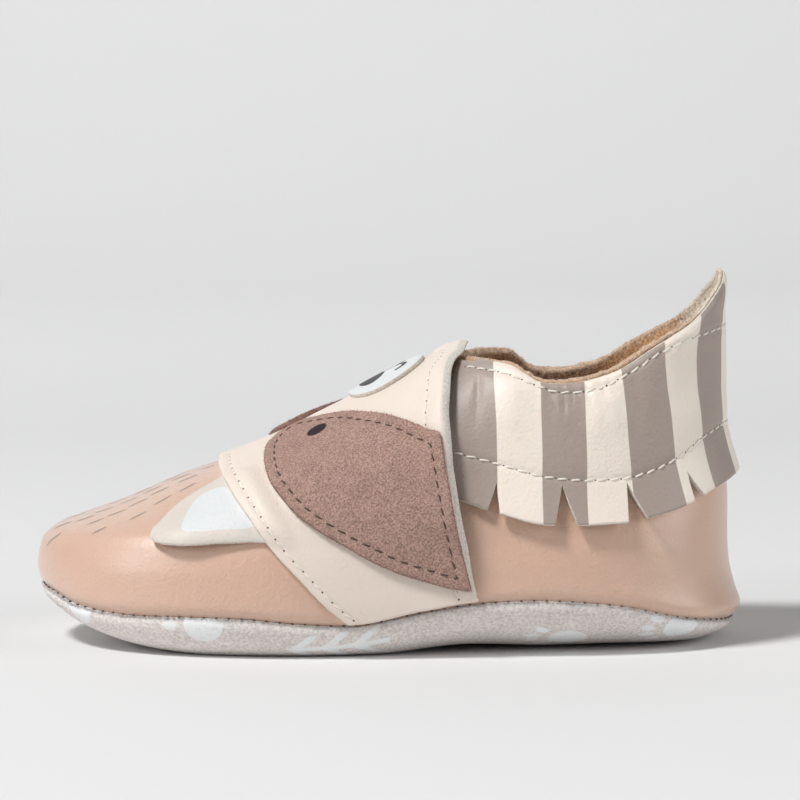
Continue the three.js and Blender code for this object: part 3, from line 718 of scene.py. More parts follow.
def pigmented_leather(name, hex_value, gloss, relief, coat, bloom=0.0, print_field=None, print_hex=None):
    """Leather with a pigment finish, and a print where the field is below zero."""
    material, tree, output = new_material(name)
    place = add_node(tree, "TexCoord").outputs["Object"]
    cloud = add_node(tree, "TexNoise", {"Scale": per_metre(CLOUD_MM), "Detail": 3.0}, {"Vector": place})
    pebble = add_node(
        tree,
        "TexVoronoi",
        {"Scale": per_metre(GRAIN_MM), "feature": "SMOOTH_F1", "Smoothness": 0.5},
        {"Vector": place},
    )
    pore = add_node(tree, "TexNoise", {"Scale": per_metre(PORE_MM), "Detail": 2.0}, {"Vector": place})
    crease = add_node(
        tree,
        "TexNoise",
        {"Scale": per_metre(CREASE_MM), "Detail": 4.0, "Roughness": 0.62, "Distortion": 0.7},
        {"Vector": place},
    )
    dyed = add_node(
        tree,
        "Mix",
        {"data_type": "RGBA", 6: shade(hex_value, 0.955), 7: shade(hex_value, 1.035)},
        {0: cloud.outputs["Fac"]},
    )
    finish = dyed.outputs[2]
    if print_field:
        ink = print_mask(tree, print_field, 0.06)
        printed = add_node(tree, "Mix", {"data_type": "RGBA", 7: colour(print_hex)}, {0: ink, 6: finish})
        finish = printed.outputs[2]
    in_pits = add_node(tree, "Math", {"operation": "MULTIPLY", 1: 0.1}, {0: pebble.outputs["Distance"]})
    rough = add_node(tree, "Math", {"operation": "ADD", 1: gloss}, {0: in_pits.outputs[0]})
    bumps = None
    for source, depth_mm, strength in (
        (crease.outputs["Fac"], 0.30, 0.35),
        (pebble.outputs["Distance"], -0.10, 0.5),
        (pore.outputs["Fac"], 0.03, 0.4),
    ):
        links = {"Height": source} if bumps is None else {"Height": source, "Normal": bumps}
        settings = {"Strength": strength * relief, "Distance": abs(depth_mm) * MM, "invert": depth_mm < 0}
        bumps = add_node(tree, "Bump", settings, links).outputs["Normal"]
    skin = add_node(
        tree,
        "BsdfPrincipled",
        {
            "IOR": 1.5,
            "Coat Weight": coat,
            "Coat Roughness": 0.34,
            "Sheen Weight": bloom,
            "Sheen Roughness": 0.4,
            "Subsurface Weight": 0.05,
            "Subsurface Scale": 0.5 * MM,
        },
        {"Base Color": finish, "Roughness": rough.outputs[0], "Normal": bumps},
    )
    tree.links.new(skin.outputs["BSDF"], output.inputs["Surface"])
    return material


print("texture scale of the leather's grain:", round(per_metre(GRAIN_MM)))

# %% [markdown]
# Suede and raw edges
#
# Suede is the flesh side of the skin, sanded until its fibres stand up as a nap. It has no gleam at all:
# each little tuft is lit or in shadow, which shows as a speckle, and the nap catches light at grazing
# angles, which is what the sheen of the shader is for. Real fibres are finer than a pixel here, so the
# tufts are drawn a third to half a millimetre wide, as coarse as they need to be to show. Cut edges are
# the same fibres seen end on, packed tighter and often a shade greyer or bluer from the tanning.

# %% Suedes
BLOTCH_MM = 3.5


def tuft_colours(tree, tufts, hex_value, contrast):
    """The colour spread over lit and shaded tufts."""
    ramp = add_node(tree, "ValToRGB", {}, {"Fac": tufts})
    low, high = ramp.color_ramp.elements
    low.position, high.position = 0.38, 0.62
    low.color, high.color = shade(hex_value, 1 - contrast), shade(hex_value, 1 + contrast)
    return ramp.outputs["Color"]


def napped_suede(name, hex_value, tuft_mm, contrast, depth_mm, sheen, print_hex=None, pale_hex=None):
    """Sanded fibres, inked where the field print_mm is below zero, and paler where the field pale is high.
    """
    material, tree, output = new_material(name)
    place = add_node(tree, "TexCoord").outputs["Object"]
    tuft = add_node(
        tree, "TexNoise", {"Scale": per_metre(tuft_mm), "Detail": 3.0, "Roughness": 0.7}, {"Vector": place}
    )
    tips = tuft.outputs["Fac"]
    blotch = add_node(tree, "TexNoise", {"Scale": per_metre(BLOTCH_MM), "Detail": 2.0}, {"Vector": place})
    nap_tone = add_node(tree, "Mix", {"data_type": "FLOAT", 0: 0.1}, {2: tips, 3: blotch.outputs["Fac"]})
    finish = tuft_colours(tree, nap_tone.outputs[0], hex_value, contrast)
    if pale_hex:
        brushed = add_node(tree, "Attribute", {"attribute_name": "pale"}).outputs["Fac"]
        pale = tuft_colours(tree, nap_tone.outputs[0], pale_hex, contrast / 2)
        rubbed = add_node(tree, "Mix", {"data_type": "RGBA"}, {0: brushed, 6: finish, 7: pale})
        finish = rubbed.outputs[2]
    if print_hex:
        ink = print_mask(tree, "print_mm", 0.14)
        reached = add_node(tree, "MapRange", {"From Min": 0.2, "From Max": 0.42}, {"Value": tips})
        soaked = add_node(tree, "Math", {"operation": "MULTIPLY"}, {0: ink, 1: reached.outputs["Result"]})
        printed = add_node(
            tree,
            "Mix",
            {"data_type": "RGBA", 7: colour(print_hex)},
            {0: soaked.outputs[0], 6: finish},
        )
        finish = printed.outputs[2]
    relief = add_node(tree, "Bump", {"Strength": 0.8, "Distance": depth_mm * MM}, {"Height": tips})
    nap = add_node(
        tree,
        "BsdfPrincipled",
        {
            "Roughness": 0.95,
            "IOR": 1.45,
            "Specular IOR Level": 0.15,
            "Sheen Weight": sheen,
            "Sheen Roughness": 0.5,
            "Sheen Tint": shade(hex_value, 1.25),
        },
        {"Base Color": finish, "Normal": relief.outputs["Normal"]},
    )
    tree.links.new(nap.outputs["BSDF"], output.inputs["Surface"])
    return material


print("texture scale of half a millimetre of nap:", round(per_metre(0.5)))

# %% [markdown]
# Threads and ink
#
# The thread is spun polyester, two plies twisted, and softly shiny. Its plies are a quarter of a millimetre
# wide, so a noise of that size, a little raised, is enough to break the gleam of each stitch. Ink that has
# dried on leather is dull and slightly worn. The shade inside a needle hole is painted as a dark film that
# looks much the same, so one function makes both.

# %% Thread and ink
PLY_MM = 0.25
WEAR_MM = 0.5


def spun_thread(name, hex_value, gloss):
    """Polyester sewing thread: two plies, softly shiny."""
    material, tree, output = new_material(name)
    place = add_node(tree, "TexCoord").outputs["Object"]
    plies = add_node(tree, "TexNoise", {"Scale": per_metre(PLY_MM), "Detail": 2.0}, {"Vector": place})
    tone = add_node(
        tree,
        "Mix",
        {"data_type": "RGBA", 6: shade(hex_value, 0.86), 7: shade(hex_value, 1.08)},
        {0: plies.outputs["Fac"]},
    )
    twist = {"Height": plies.outputs["Fac"]}
    relief = add_node(tree, "Bump", {"Strength": 0.5, "Distance": 0.06 * MM}, twist)
    thread = add_node(
        tree,
        "BsdfPrincipled",
        {"Roughness": gloss, "IOR": 1.5},
        {"Base Color": tone.outputs[2], "Normal": relief.outputs["Normal"]},
    )
    tree.links.new(thread.outputs["BSDF"], output.inputs["Surface"])
    return material


def dull_film(name, hex_value):
    """Dried ink, or the painted shade inside a needle hole: no relief and hardly any gleam."""
    material, tree, output = new_material(name)
    place = add_node(tree, "TexCoord").outputs["Object"]
    wear = add_node(tree, "TexNoise", {"Scale": per_metre(WEAR_MM), "Detail": 2.0}, {"Vector": place})
    tone = add_node(
        tree,
        "Mix",
        {"data_type": "RGBA", 6: shade(hex_value, 0.9), 7: shade(hex_value, 1.12)},
        {0: wear.outputs["Fac"]},
    )
    film = add_node(
        tree, "BsdfPrincipled", {"Roughness": 0.55, "IOR": 1.5}, {"Base Color": tone.outputs[2]}
    )
    tree.links.new(film.outputs["BSDF"], output.inputs["Surface"])
    return material


print("texture scale of a ply of thread:", round(per_metre(PLY_MM)))

# %% [markdown]
# The slipper's own materials
#
# Five smooth leathers, three suedes, three kinds of raw fibre, two threads and two dull films dress the
# slipper. Each colour was picked from a lit flat part of the real piece and then corrected until the
# render showed the same tone, because light and gloss shift what the eye sees. The comment over each
# says how the real surface was made and what that gives the eye.

# %% Materials of the slipper
# calf, sprayed and waxed: an even peach with a broad gleam over the toe and a powdery edge
peach_leather = pigmented_leather(
    "peach_waxed_calf_leather", "#d8b39d", gloss=0.4, relief=1.4, coat=1.0, bloom=0.3
)
# calf, sprayed and pressed, left dry: hardly a gleam, so its stitches and edges draw the form
cream_leather = pigmented_leather("cream_sprayed_calf_leather", "#e8dacd", gloss=0.52, relief=0.9, coat=0.1)
# the cream calf with a screen print: a cool white with a crisp edge
ear_leather = pigmented_leather(
    "cream_calf_leather_screen_printed_white",
    "#d8cfc5",
    gloss=0.52,
    relief=0.9,
    coat=0.1,
    print_field="print_mm",
    print_hex="#dcdfdf",
)
# calf, sprayed white and screen printed: the whitest and the blackest place side by side
nose_leather = pigmented_leather(
    "white_calf_leather_screen_printed_black",
    "#dcdfdf",
    gloss=0.5,
    relief=0.7,
    coat=0.1,
    print_field="print_mm",
    print_hex="#1d1e25",
)
# the cream calf with printed stripes, stretched round the ankle: a little glossier, with more crease
striped_leather = pigmented_leather(
    "cream_calf_leather_screen_printed_grey",
    "#f3e7da",
    gloss=0.48,
    relief=1.2,
    coat=0.2,
    print_field="stripe_mm",
    print_hex="#a8998f",
)
# split leather, sanded: no gleam at all, a lively speckle of lit and shaded tufts
taupe_suede = napped_suede(
    "taupe_sanded_suede",
    "#aa8b80",
    tuft_mm=0.32,
    contrast=0.4,
    depth_mm=0.3,
    sheen=0.2,
    print_hex="#2a2a30",
)
# tougher split leather, sanded short: a quiet dusty grey, with white ink caught in the nap
sole_suede = napped_suede(
    "grey_short_sanded_suede",
    "#dfd8d4",
    tuft_mm=0.5,
    contrast=0.17,
    depth_mm=0.18,
    sheen=0.1,
    print_hex="#eff1f1",
)
# lining suede, brushed: a warm long nap, pale on the tab and towards the top edge of the rim
lining_suede = napped_suede(
    "tan_brushed_suede",
    "#b98d68",
    tuft_mm=0.5,
    contrast=0.4,
    depth_mm=0.3,
    sheen=0.3,
    pale_hex="#e8dccc",
)
# calf, cut with a die: packed fibre ends that read as a pale line round each piece
cut_edge = napped_suede(
    "die_cut_leather_edge", "#d9d3c9", tuft_mm=0.5, contrast=0.14, depth_mm=0.15, sheen=0.1
)
# the taupe suede, cut with a die: dyed through, and darker because its fibres are seen end on
taupe_edge = napped_suede(
    "die_cut_suede_edge", "#8f736a", tuft_mm=0.6, contrast=0.3, depth_mm=0.2, sheen=0.2
)
# the underside of the calf, left raw: dull and fluffy, seen only where a flap lifts
flesh_side = napped_suede("raw_flesh_side", "#c9bfb3", tuft_mm=0.8, contrast=0.15, depth_mm=0.2, sheen=0.2)
# spun polyester, bleached cream: rows of fine light dashes
cream_thread = spun_thread("cream_spun_polyester", "#efe9de", gloss=0.6)
# spun polyester, dyed brown and drier: dark dashes that sink into the suede
# in the seam the same brown is painted shade of the needle holes in the fold
dark_thread = spun_thread("brown_spun_polyester", "#54433c", gloss=0.8)
# painted shade inside a needle hole, laid on as a brown film: never quite black
needle_hole = dull_film("needle_hole_painted_shade", "#665449")
# ink, screen printed and dried: thin grey strokes with no gleam
grey_ink = dull_film("grey_screen_printing_ink", "#a39489")
print("materials:", len(bpy.data.materials))

# %% [markdown]
# The upper
#
# The upper is the slipper's main form: calf leather outside, brushed suede inside, two millimetres in
# all. It was sewn to the sole inside out and then turned, which pulls the leather in along the seam and
# makes it roll over it. The grid follows the level sections of the last, fine enough that the soft gleam
# has no facets, and the roll and a faint unevenness of the skin are small moves along its normals.

# %% Upper
AROUND = 320
UPPER_ROWS = 84
RIM_ROWS = 5
SEAM_ROLL = 0.55
RIM_THINNING = 1.35
RIM_THINNING_RISE = 9.0
SKIN_WAVE = 0.12


def all_turns(count):
    """Evenly spaced turns round the last, from the toe over the inner side and back."""
    step = np.arange(count)
    return np.where(step <= count / 2, step, step - count) / count * 2 * math.pi


def unevenness(points, size_mm, seed):
    """A slow smooth waviness between -1 and 1, as worn or hand-worked leather has."""
    waves = np.random.default_rng(seed)
    total = np.zeros(len(points))
    for _ in range(6):
        direction = waves.standard_normal(3)
        direction *= 2 * math.pi / size_mm / np.linalg.norm(direction)
        total += np.sin(points @ direction + waves.uniform(0, 2 * math.pi)) / 6
    return total


def upper_grid(rows):
    """Turn, height and height above the seam of every point, row by row, finer at the toe's seam."""
    turn = all_turns(AROUND)
    foot = seam_point(turn, 0.05)[:, 2]
    top = topline_height(turn)
    toe_end = np.clip(1 - np.abs(turn) / (math.pi / 3), 0, 1)
    share = (np.arange(rows + 1)[:, None] / rows) ** (1 + 0.15 * toe_end)
    z = mix(foot, top, share)
    return np.tile(turn, rows + 1), z.ravel(), (z - foot).ravel()


def skin_wave(points):
    """The faint unevenness of the upper's leather."""
    return SKIN_WAVE * unevenness(points, 22, 3)


def upper_height(points, above_seam):
    """How far the upper's leather stands off the last: drawn in at the seam, then swelling over it."""
    drawn_in = -SEAM_ROLL * np.exp(-((above_seam / 0.8) ** 2))
    swell = 0.12 * np.exp(-(((above_seam - 2.2) / 1.4) ** 2))
    return drawn_in + swell + skin_wave(points)


def wall_thickness(z):
    """The upper's wall, which a maker shaves thinner towards the rim."""
    return WALL - RIM_THINNING * ease(z, COLLAR_HEIGHT, COLLAR_HEIGHT + RIM_THINNING_RISE)


def make_upper():
    """The hollow upper, with lining suede on its inside and on the turned rim."""
    turn, z, above_seam = upper_grid(UPPER_ROWS)
    skin = level_point(turn, z)
    top = raised(skin, upper_height(skin, above_seam))
    below_rim = topline_height(turn) - z
    pale = np.maximum(ease(np.abs(turn), 2.3, 2.55), 0.4 * np.exp(-below_rim / 0.8))
    under = raised(skin, -wall_thickness(z))
    top_picks = [0] * ((UPPER_ROWS - RIM_ROWS) * AROUND) + [1] * (RIM_ROWS * AROUND)
    piece = leather_sheet(
        "slipper_upper",
        top,
        under,
        grid_faces(UPPER_ROWS, AROUND, wrapped=True),
        [peach_leather, lining_suede, lining_suede],
        {"pale": pale},
        bulge=0.22,
        rough_edge=0.11,
        top_picks=top_picks,
    )
    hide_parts("upper")
    return piece


make_upper()

# %% [markdown]
# The sole
#
# The sole is one flat piece of grey suede that is drawn up all round like a dish. Its print was made
# before sewing, so a motif runs up the side wherever it falls. To lay the print out, each point is given
# its place on the flat piece: along the slipper, and out from the middle as far as the leather reaches.

# %% Sole
BENDS = 26
CAP_ROWS = 26
FLAT_ENDS = (-0.456, 0.444)
MIDDLE_ENDS = (0.82, 0.86)
FAR_FROM_PRINT = 9.0


def underside_height(station):
    """Height of the sole's flat underside: toe spring in front, a small raise at the arch."""
    return TOE_SPRING * SOLE_FLAT["rise"](station) + ARCH_RAISE * SOLE_FLAT["arch"](station)


def sole_frame(turn, lift):
    """Rim of the sole, edge of its flat underside and its middle line, for every turn."""
    seam = seam_point(turn, -0.05)
    rim = raised(seam, -lift)
    toe_rim, heel_rim = seam_point(np.array([0.0, math.pi]), 0)[:, 0]
    station = mix(*FLAT_ENDS, np.clip((seam[:, 0] - toe_rim) / (heel_rim - toe_rim), 0, 1))
    aside = (seam[:, 1] - centre_line(seam[:, 0])) * SOLE_FLAT["width"](station)
    x = station * LENGTH * (1 - 2 * lift / LENGTH)
    y = centre_line(station * LENGTH) + aside * (1 - 2 * lift / BALL_WIDTH)
    flat = np.stack([x, y, underside_height(station) + lift], axis=1)
    low_end, high_end = (end * LENGTH * share for end, share in zip(FLAT_ENDS, MIDDLE_ENDS))
    middle_x = np.clip(x, low_end, high_end)
    middle = np.stack([middle_x, centre_line(middle_x), 0 * x], axis=1)
    return rim, flat, middle


def sole_skin(turn, lift, rolled):
    """The sole from its rim down and in to the middle, and each point's place on the flat piece."""
    rim, flat, middle = sole_frame(turn, lift)
    out = rim[:, :2] - flat[:, :2]
    reach = np.linalg.norm(out, axis=1) + 1e-9
    out = out / reach[:, None]
    points = []
    for row in range(BENDS + 1):
        angle = row / BENDS * math.pi / 2
        xy = mix(flat[:, :2], rim[:, :2], math.cos(angle))
        z = mix(rim[:, 2], flat[:, 2], math.sin(angle))
        drawn_in = rolled * np.exp(-(((rim[:, 2] - z) / 0.7) ** 2))
        points.append(np.column_stack([xy - out * drawn_in[:, None], z]))
    steps = np.linalg.norm(np.diff(points, axis=0), axis=2)
    up_the_wall = np.concatenate([np.cumsum(steps[::-1], axis=0)[::-1], np.zeros((1, len(turn)))])
    places = [flat[:, :2] + out * far[:, None] for far in up_the_wall]
    for row in range(1, CAP_ROWS + 1):
        share = row / CAP_ROWS
        xy = mix(flat[:, :2], middle[:, :2], share)
        points.append(np.column_stack([xy, underside_height(xy[:, 0] / LENGTH) + lift]))
        places.append(xy)
    return np.concatenate(points), np.concatenate(places)


PAWS = (
    # x, y, size, degrees
    (-33.0, -30.0, 1.05, 192), (31.0, -22.5, 0.95, 185), (51.0, -21.5, 0.95, 190), (-56.0, -17.0, 1.0, 215),
    (-20.0, -10.0, 1.0, 150), (-32.0, 13.0, 1.0, 215), (-4.0, 9.0, 1.0, 170), (13.0, -9.0, 0.9, 200),
    (21.0, 12.0, 0.9, 160), (38.0, -3.0, 0.95, 195), (44.0, 19.0, 0.9, 170), (-12.0, 29.0, 1.0, 190),
)
ARROWS = (
    # x, y, length, degrees
    (-8.0, -27.5, 17.0, 176), (-40.0, -3.0, 12.0, 170), (4.0, -17.0, 11.0, 200), (-19.0, 20.0, 12.0, 185),
    (6.0, 20.0, 12.0, 165), (29.0, 3.0, 10.0, 190), (52.0, 6.0, 9.0, 170), (32.0, 23.0, 10.0, 185),
)


def paw_distance(places, x, y, size, degrees):
    """A rounded pad with four ovals before it."""
    turn = math.radians(degrees)
    ahead, aside = np.array([math.cos(turn), math.sin(turn)]), np.array([-math.sin(turn), math.cos(turn)])
    best = oval_distance(places, (x, y), 3.6 * size, 3.1 * size, degrees)
    for forward, across in ((5.0, -3.3), (6.6, -1.15), (6.6, 1.15), (5.0, 3.3)):
        spot = np.array([x, y]) + (ahead * forward + aside * across) * size
        best = np.minimum(best, oval_distance(places, spot, 1.45 * size, 0.85 * size, degrees + 8 * across))
    return best


def arrow_distance(places, x, y, length, degrees):
    """A stack of three chevrons on one shaft."""
    turn = math.radians(degrees)
    px, py = places[:, 0] - x, places[:, 1] - y
    along = px * math.cos(turn) + py * math.sin(turn)
    aside = np.abs(-px * math.sin(turn) + py * math.cos(turn))
    shaft = np.maximum(aside - 0.55, np.abs(along) - length / 2)
    best = shaft
    for tip in (0.5, 0.18, -0.14):
        behind = tip * length - along
        chevron = np.abs(behind - 1.25 * aside) / 1.6 - 0.62
        best = np.minimum(best, np.maximum(chevron, aside - 3.1))
    return best


def make_sole():
    """The suede sole, with paws and arrows printed on its flat piece."""
    turn = all_turns(AROUND)
    top, places = sole_skin(turn, 0.0, 0.45)
    under, _ = sole_skin(turn, WALL, 0.0)
    distance = np.full(len(places), FAR_FROM_PRINT)
    for paw in PAWS:
        distance = np.minimum(distance, paw_distance(places, *paw))
    for arrow in ARROWS:
        distance = np.minimum(distance, arrow_distance(places, *arrow))
    rows = BENDS + CAP_ROWS
    piece = leather_sheet(
        "slipper_sole",
        top,
        under,
        grid_faces(rows, AROUND, wrapped=True),
        [sole_suede, sole_suede, lining_suede],
        {"print_mm": distance},
        bulge=0.05,
    )
    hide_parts("sole")
    return piece


make_sole()

# %% [markdown]
# The insole
#
# The foot stands on a loose sheet of the same suede as the lining, which lies in the sole and comes a
# little way up its side. It repeats the sole's own formula at a larger offset, so it can't cut into it.
# Little of it shows, so half as many columns are enough.

# %% Insole
INSOLE_GAP = 0.4
INSOLE_THICKNESS = 1.5
INSOLE_START = 0.45
SIDE_ROWS = 12
FLAT_ROWS = 20


def make_insole():
    """The lining sheet that lies in the sole."""
    turn = all_turns(AROUND // 2)
    low = WALL + INSOLE_GAP
    high = low + INSOLE_THICKNESS
    skins = []
    for lift in (high, low):
        rim, flat, middle = sole_frame(turn, lift)
        points = []
        for row in range(SIDE_ROWS + 1):
            angle = mix(INSOLE_START, 1, row / SIDE_ROWS) * math.pi / 2
            xy = mix(flat[:, :2], rim[:, :2], math.cos(angle))
            points.append(np.column_stack([xy, mix(rim[:, 2], flat[:, 2], math.sin(angle))]))
        for row in range(1, FLAT_ROWS + 1):
            xy = mix(flat[:, :2], middle[:, :2], row / FLAT_ROWS)
            points.append(np.column_stack([xy, underside_height(xy[:, 0] / LENGTH) + lift]))
        skins.append(np.concatenate(points))
    faces = grid_faces(SIDE_ROWS + FLAT_ROWS, AROUND // 2, wrapped=True)
    piece = leather_sheet("slipper_insole", *skins, faces, [lining_suede] * 3, bulge=0.3)
    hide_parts("insole")
    return piece


make_insole()

# %% [markdown]
# Stitches
#
# A sewing machine lays a straight line of thread that dips into the leather at each needle hole. Each
# stitch here is a short tube that rises out of one hole and sinks into the next, a little slanted, as
# the twist of the thread makes it. All stitches of a line are one mesh, made from one array of points.

# %% Stitch lines
STITCH_PITCH = 2.4
THREAD_DIP = 0.22


def along_line(line, values, at):
    """Values given at the points of a line, read at distances along it."""
    step = np.linalg.norm(np.diff(line, axis=0), axis=1)
    length = np.concatenate([[0], np.cumsum(step)])
    return np.stack([np.interp(at, length, column) for column in values.T], axis=1)


def whole_pitch(line, pitch):
    """How many stitches of about that pitch fit on a line, and the exact pitch that fills it."""
    total = float(np.linalg.norm(np.diff(line, axis=0), axis=1).sum())
    count = max(1, round(total / pitch))
    return count, total / count


def line_frame(line, normals, at):
    """Points at distances along a line, and the unit directions up, ahead and aside at each."""
    middle = along_line(line, line, at)
    ahead = along_line(line, line, at + 0.2) - along_line(line, line, at - 0.2)
    ahead /= np.linalg.norm(ahead, axis=1, keepdims=True) + 1e-9
    up = along_line(line, normals, at)
    up /= np.linalg.norm(up, axis=1, keepdims=True)
    return middle, up, ahead, np.cross(up, ahead)


def stitch_line(
    name, line, normals, material, pitch=STITCH_PITCH, fill=0.74, width=0.36, arch=0.16, slant=0.1
):
    """One row of stitches along a line. fill is the share of the pitch that a stitch covers."""
    count, pitch = whole_pitch(line, pitch)
    sections, corners = 9, 8
    share = np.linspace(0, 1, sections)
    at = (np.arange(count)[:, None] + 0.5 + (share - 0.5) * fill) * pitch
    middle, up, ahead, side = line_frame(line, normals, at.ravel())
    bow = np.tile(np.sin(share * math.pi) ** 0.55, count)
    height = -THREAD_DIP + (THREAD_DIP + arch) * bow
    lean = np.tile(share - 0.5, count) * 2 * slant
    middle = middle + up * height[:, None] + side * lean[:, None]
    radius = width / 2 * (0.72 + 0.28 * bow)
    turn = np.arange(corners) / corners * 2 * math.pi
    ring = side[:, None] * np.cos(turn)[None, :, None] + up[:, None] * (0.8 * np.sin(turn))[None, :, None]
    points = (middle[:, None] + ring * radius[:, None, None]).reshape(-1, 3)
    faces = []
    for stitch in range(count):
        start = stitch * sections * corners
        for section in range(sections - 1):
            for corner in range(corners):
                after = (corner + 1) % corners
                low, high = start + section * corners, start + (section + 1) * corners
                faces.append([low + corner, low + after, high + after, high + corner])
        faces.append([start + corner for corner in range(corners)][::-1])
        faces.append([start + (sections - 1) * corners + corner for corner in range(corners)])
    return make_piece(name, points, faces, [material])


def hole_line(name, line, normals, pitch=STITCH_PITCH):
    """The needle holes of a row of stitches: small dimples, painted dark brown as the shade inside them."""
    radius, above, dished, corners = 0.22, 0.06, 0.05, 10
    count, pitch = whole_pitch(line, pitch)
    middle, up, ahead, side = line_frame(line, normals, np.arange(count) * pitch)
    turn = np.arange(corners) / corners * 2 * math.pi
    long_way = ahead[:, None] * (0.8 * np.cos(turn))[None, :, None]
    short_way = side[:, None] * np.sin(turn)[None, :, None]
    rim = middle[:, None] + (long_way + short_way) * radius + up[:, None] * (above - dished)
    points = np.concatenate([rim.reshape(-1, 3), middle + up * above])
    faces = []
    for hole in range(count):
        for corner in range(corners):
            after = (corner + 1) % corners
            faces.append([hole * corners + corner, hole * corners + after, count * corners + hole])
    return make_piece(name, points, faces, [needle_hole])


print("stitches in 100 mm:", round(100 / STITCH_PITCH))

# %% [markdown]
# The seam
#
# Upper and sole were sewn with the wrong side out and then turned. The thread lies deep in the fold
# between them, and only short dark dips of it show, a little over two millimetres apart. Their dark brown
# is painted shade: it stands for the needle holes and the deep fold. So this line of stitches has a low
# fill and a thin thread, and follows the bottom of the fold.

# %% Seam between upper and sole
SEAM_PITCH = 2.2


def make_seam():
    """The dark stitches in the fold between upper and sole, their brown painted shade of the needle holes.
    """
    turn = np.linspace(-math.pi, math.pi, 721)
    line = seam_point(turn, 0.0)
    normals = outward(line)
    line = line - normals * (SEAM_ROLL - 0.2)
    piece = stitch_line(
        "seam_stitches", line, normals, dark_thread, SEAM_PITCH, fill=0.2, width=0.26, arch=0.03, slant=0.0
    )
    return piece


make_seam()

# %% [markdown]
# The instep panel
#
# The face of the animal is a band of cream leather that is laid over the instep and sewn down at its
# front edge and at both ends. Behind, it rides over the cuff and curls up, so that its thick cut edge
# faces the side. Its height above the last is one formula: flat in front, a swell where the ears are
# caught under it, the thickness of the cuff behind, and a last flare. A shallow furrow runs under each
# row of stitches, because the thread pulls the leather down.

# %% Panel
PANEL = table_curves(
    ("down", "front", "rear"),
    (
        (0.0, -0.237, 0.112), (0.17, -0.235, 0.101), (0.34, -0.227, 0.088), (0.44, -0.216, 0.082),
        (0.54, -0.202, 0.082), (0.64, -0.182, 0.087), (0.74, -0.156, 0.094), (0.83, -0.124, 0.103),
        (0.92, -0.09, 0.113), (1.0, -0.05, 0.124),
    ),
)
PANEL_LEATHER = 1.15
EAR_LEATHER = 0.95
FRONT_STITCH = 1.9
REAR_STITCH = 3.0
FURROW_HALF = 0.55
# grid rows by their distance from an edge, close together at the cut and under the stitches
FRONT_ROWS = (0, 0.12, 0.3, 0.6, 0.95, 1.25, 1.45, 1.6, 1.75, 1.9, 2.05, 2.2, 2.4, 2.7, 3.1, 3.6)
REAR_ROWS = (4.6, 4.1, 3.75, 3.5, 3.3, 3.15, 3.0, 2.85, 2.7, 2.5, 2.2, 1.7, 1.2, 0.8, 0.45, 0.2, 0.07, 0)
MIDDLE_ROWS = 42
PANEL_COLUMNS = 280


def panel_edges(down):
    """Stations of the panel's front and rear edge at each way down from the ridge."""
    far = np.abs(down)
    return PANEL["front"](far) * LENGTH, PANEL["rear"](far) * LENGTH


def panel_lift(x, down):
    """Height of the panel's underside above the last."""
    far = np.abs(down)
    front, rear = panel_edges(down)
    along = (x - front) / (rear - front)
    beside = 0.25 + 0.75 * ease(far, 0.1, 0.3)
    over_cuff = 1.5 * ease(along, 0.5, 0.86) * (1 - ease(far, 0.72, 0.86)) * beside
    flare = 2.2 * ease(along, 0.8, 1.0) ** 1.3 * (1 - ease(far, 0.55, 1.0)) * beside
    over_ear = ease(far, 0.31, 0.4) * (1 - ease(far, 0.66, 0.75)) * (1 - ease(x - front, 3.0, 6.5))
    return 0.12 + over_cuff + flare + EAR_LEATHER * over_ear


def panel_top(x, down):
    """The panel's grain side, with the furrows under its two rows of stitches."""
    front, rear = panel_edges(down)
    from_front = (x - front - FRONT_STITCH) / FURROW_HALF
    from_rear = (rear - x - REAR_STITCH) / FURROW_HALF
    furrow = np.exp(-(from_front**2)) + np.exp(-(from_rear**2))
    skin = vamp_point(x, down)
    swell = 0.10 * unevenness(skin, 16, 11)
    rounded = 0.22 * np.exp(-np.minimum(x - front, rear - x) / 0.25)
    return raised(skin, panel_lift(x, down) + PANEL_LEATHER - 0.16 * furrow + swell - rounded)


def make_panel():
    """The cream band over the instep, from seam to seam."""
    down = np.linspace(-0.99, 0.99, PANEL_COLUMNS + 1)
    front, rear = panel_edges(down)
    shares = np.linspace(0, 1, MIDDLE_ROWS + 2)[1:-1]
    middle_rows = [mix(front + FRONT_ROWS[-1], rear - REAR_ROWS[0], share) for share in shares]
    x = np.array([front + a for a in FRONT_ROWS] + middle_rows + [rear - b for b in REAR_ROWS])
    rows = len(x) - 1
    x, down = x.ravel(), np.tile(down, rows + 1)
    front, rear = panel_edges(down)
    bevel = 0.75 * (1 - ease(np.abs(down), 0.8, 1.0)) + 0.15
    x_under = x + bevel * ease(x, rear - 3, rear)
    under = raised(vamp_point(x_under, down), panel_lift(x, down))
    piece = leather_sheet(
        "instep_panel_leather",
        panel_top(x, down),
        under,
        grid_faces(rows, PANEL_COLUMNS),
        [cream_leather, cut_edge, flesh_side],
        bulge=0.08,
    )
    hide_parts("instep_panel")
    return piece


def panel_stitches():
    """A row of cream stitches along the panel's front edge, and one along its rear edge."""
    down = np.linspace(-0.975, 0.975, 900)
    front, rear = panel_edges(down)
    for name, x in (("front", front + FRONT_STITCH), ("rear", rear - REAR_STITCH)):
        line = panel_top(x, down)
        normals = outward(line)
        row = stitch_line(f"panel_{name}_stitches", line, normals, cream_thread, width=0.3, arch=0.06)
        holes = hole_line(f"panel_{name}_needle_holes", line, normals)


make_panel()
panel_stitches()

# %% [markdown]
# Patches, nose and ears
#
# Four cut shapes make the face: a leaf of taupe suede round each eye, an oval of white leather for the
# nose, and a flap for each ear. Each is an outline on the last, drawn by its station along the slipper
# and its way down from the ridge. The mesh is a fan of rings inside the outline, so that the outermost
# ring is the cut edge itself. What is on the outer side is mirrored to the inner side.

# %% Outlined sheets
def flat_scale(station, down):
    """Millimetres on the leather for a whole way from ridge to seam, near one place."""
    x = np.array([station * LENGTH])
    _, _, length = vamp_section(x, np.array([down > 0]))
    return float(length[0, -1])


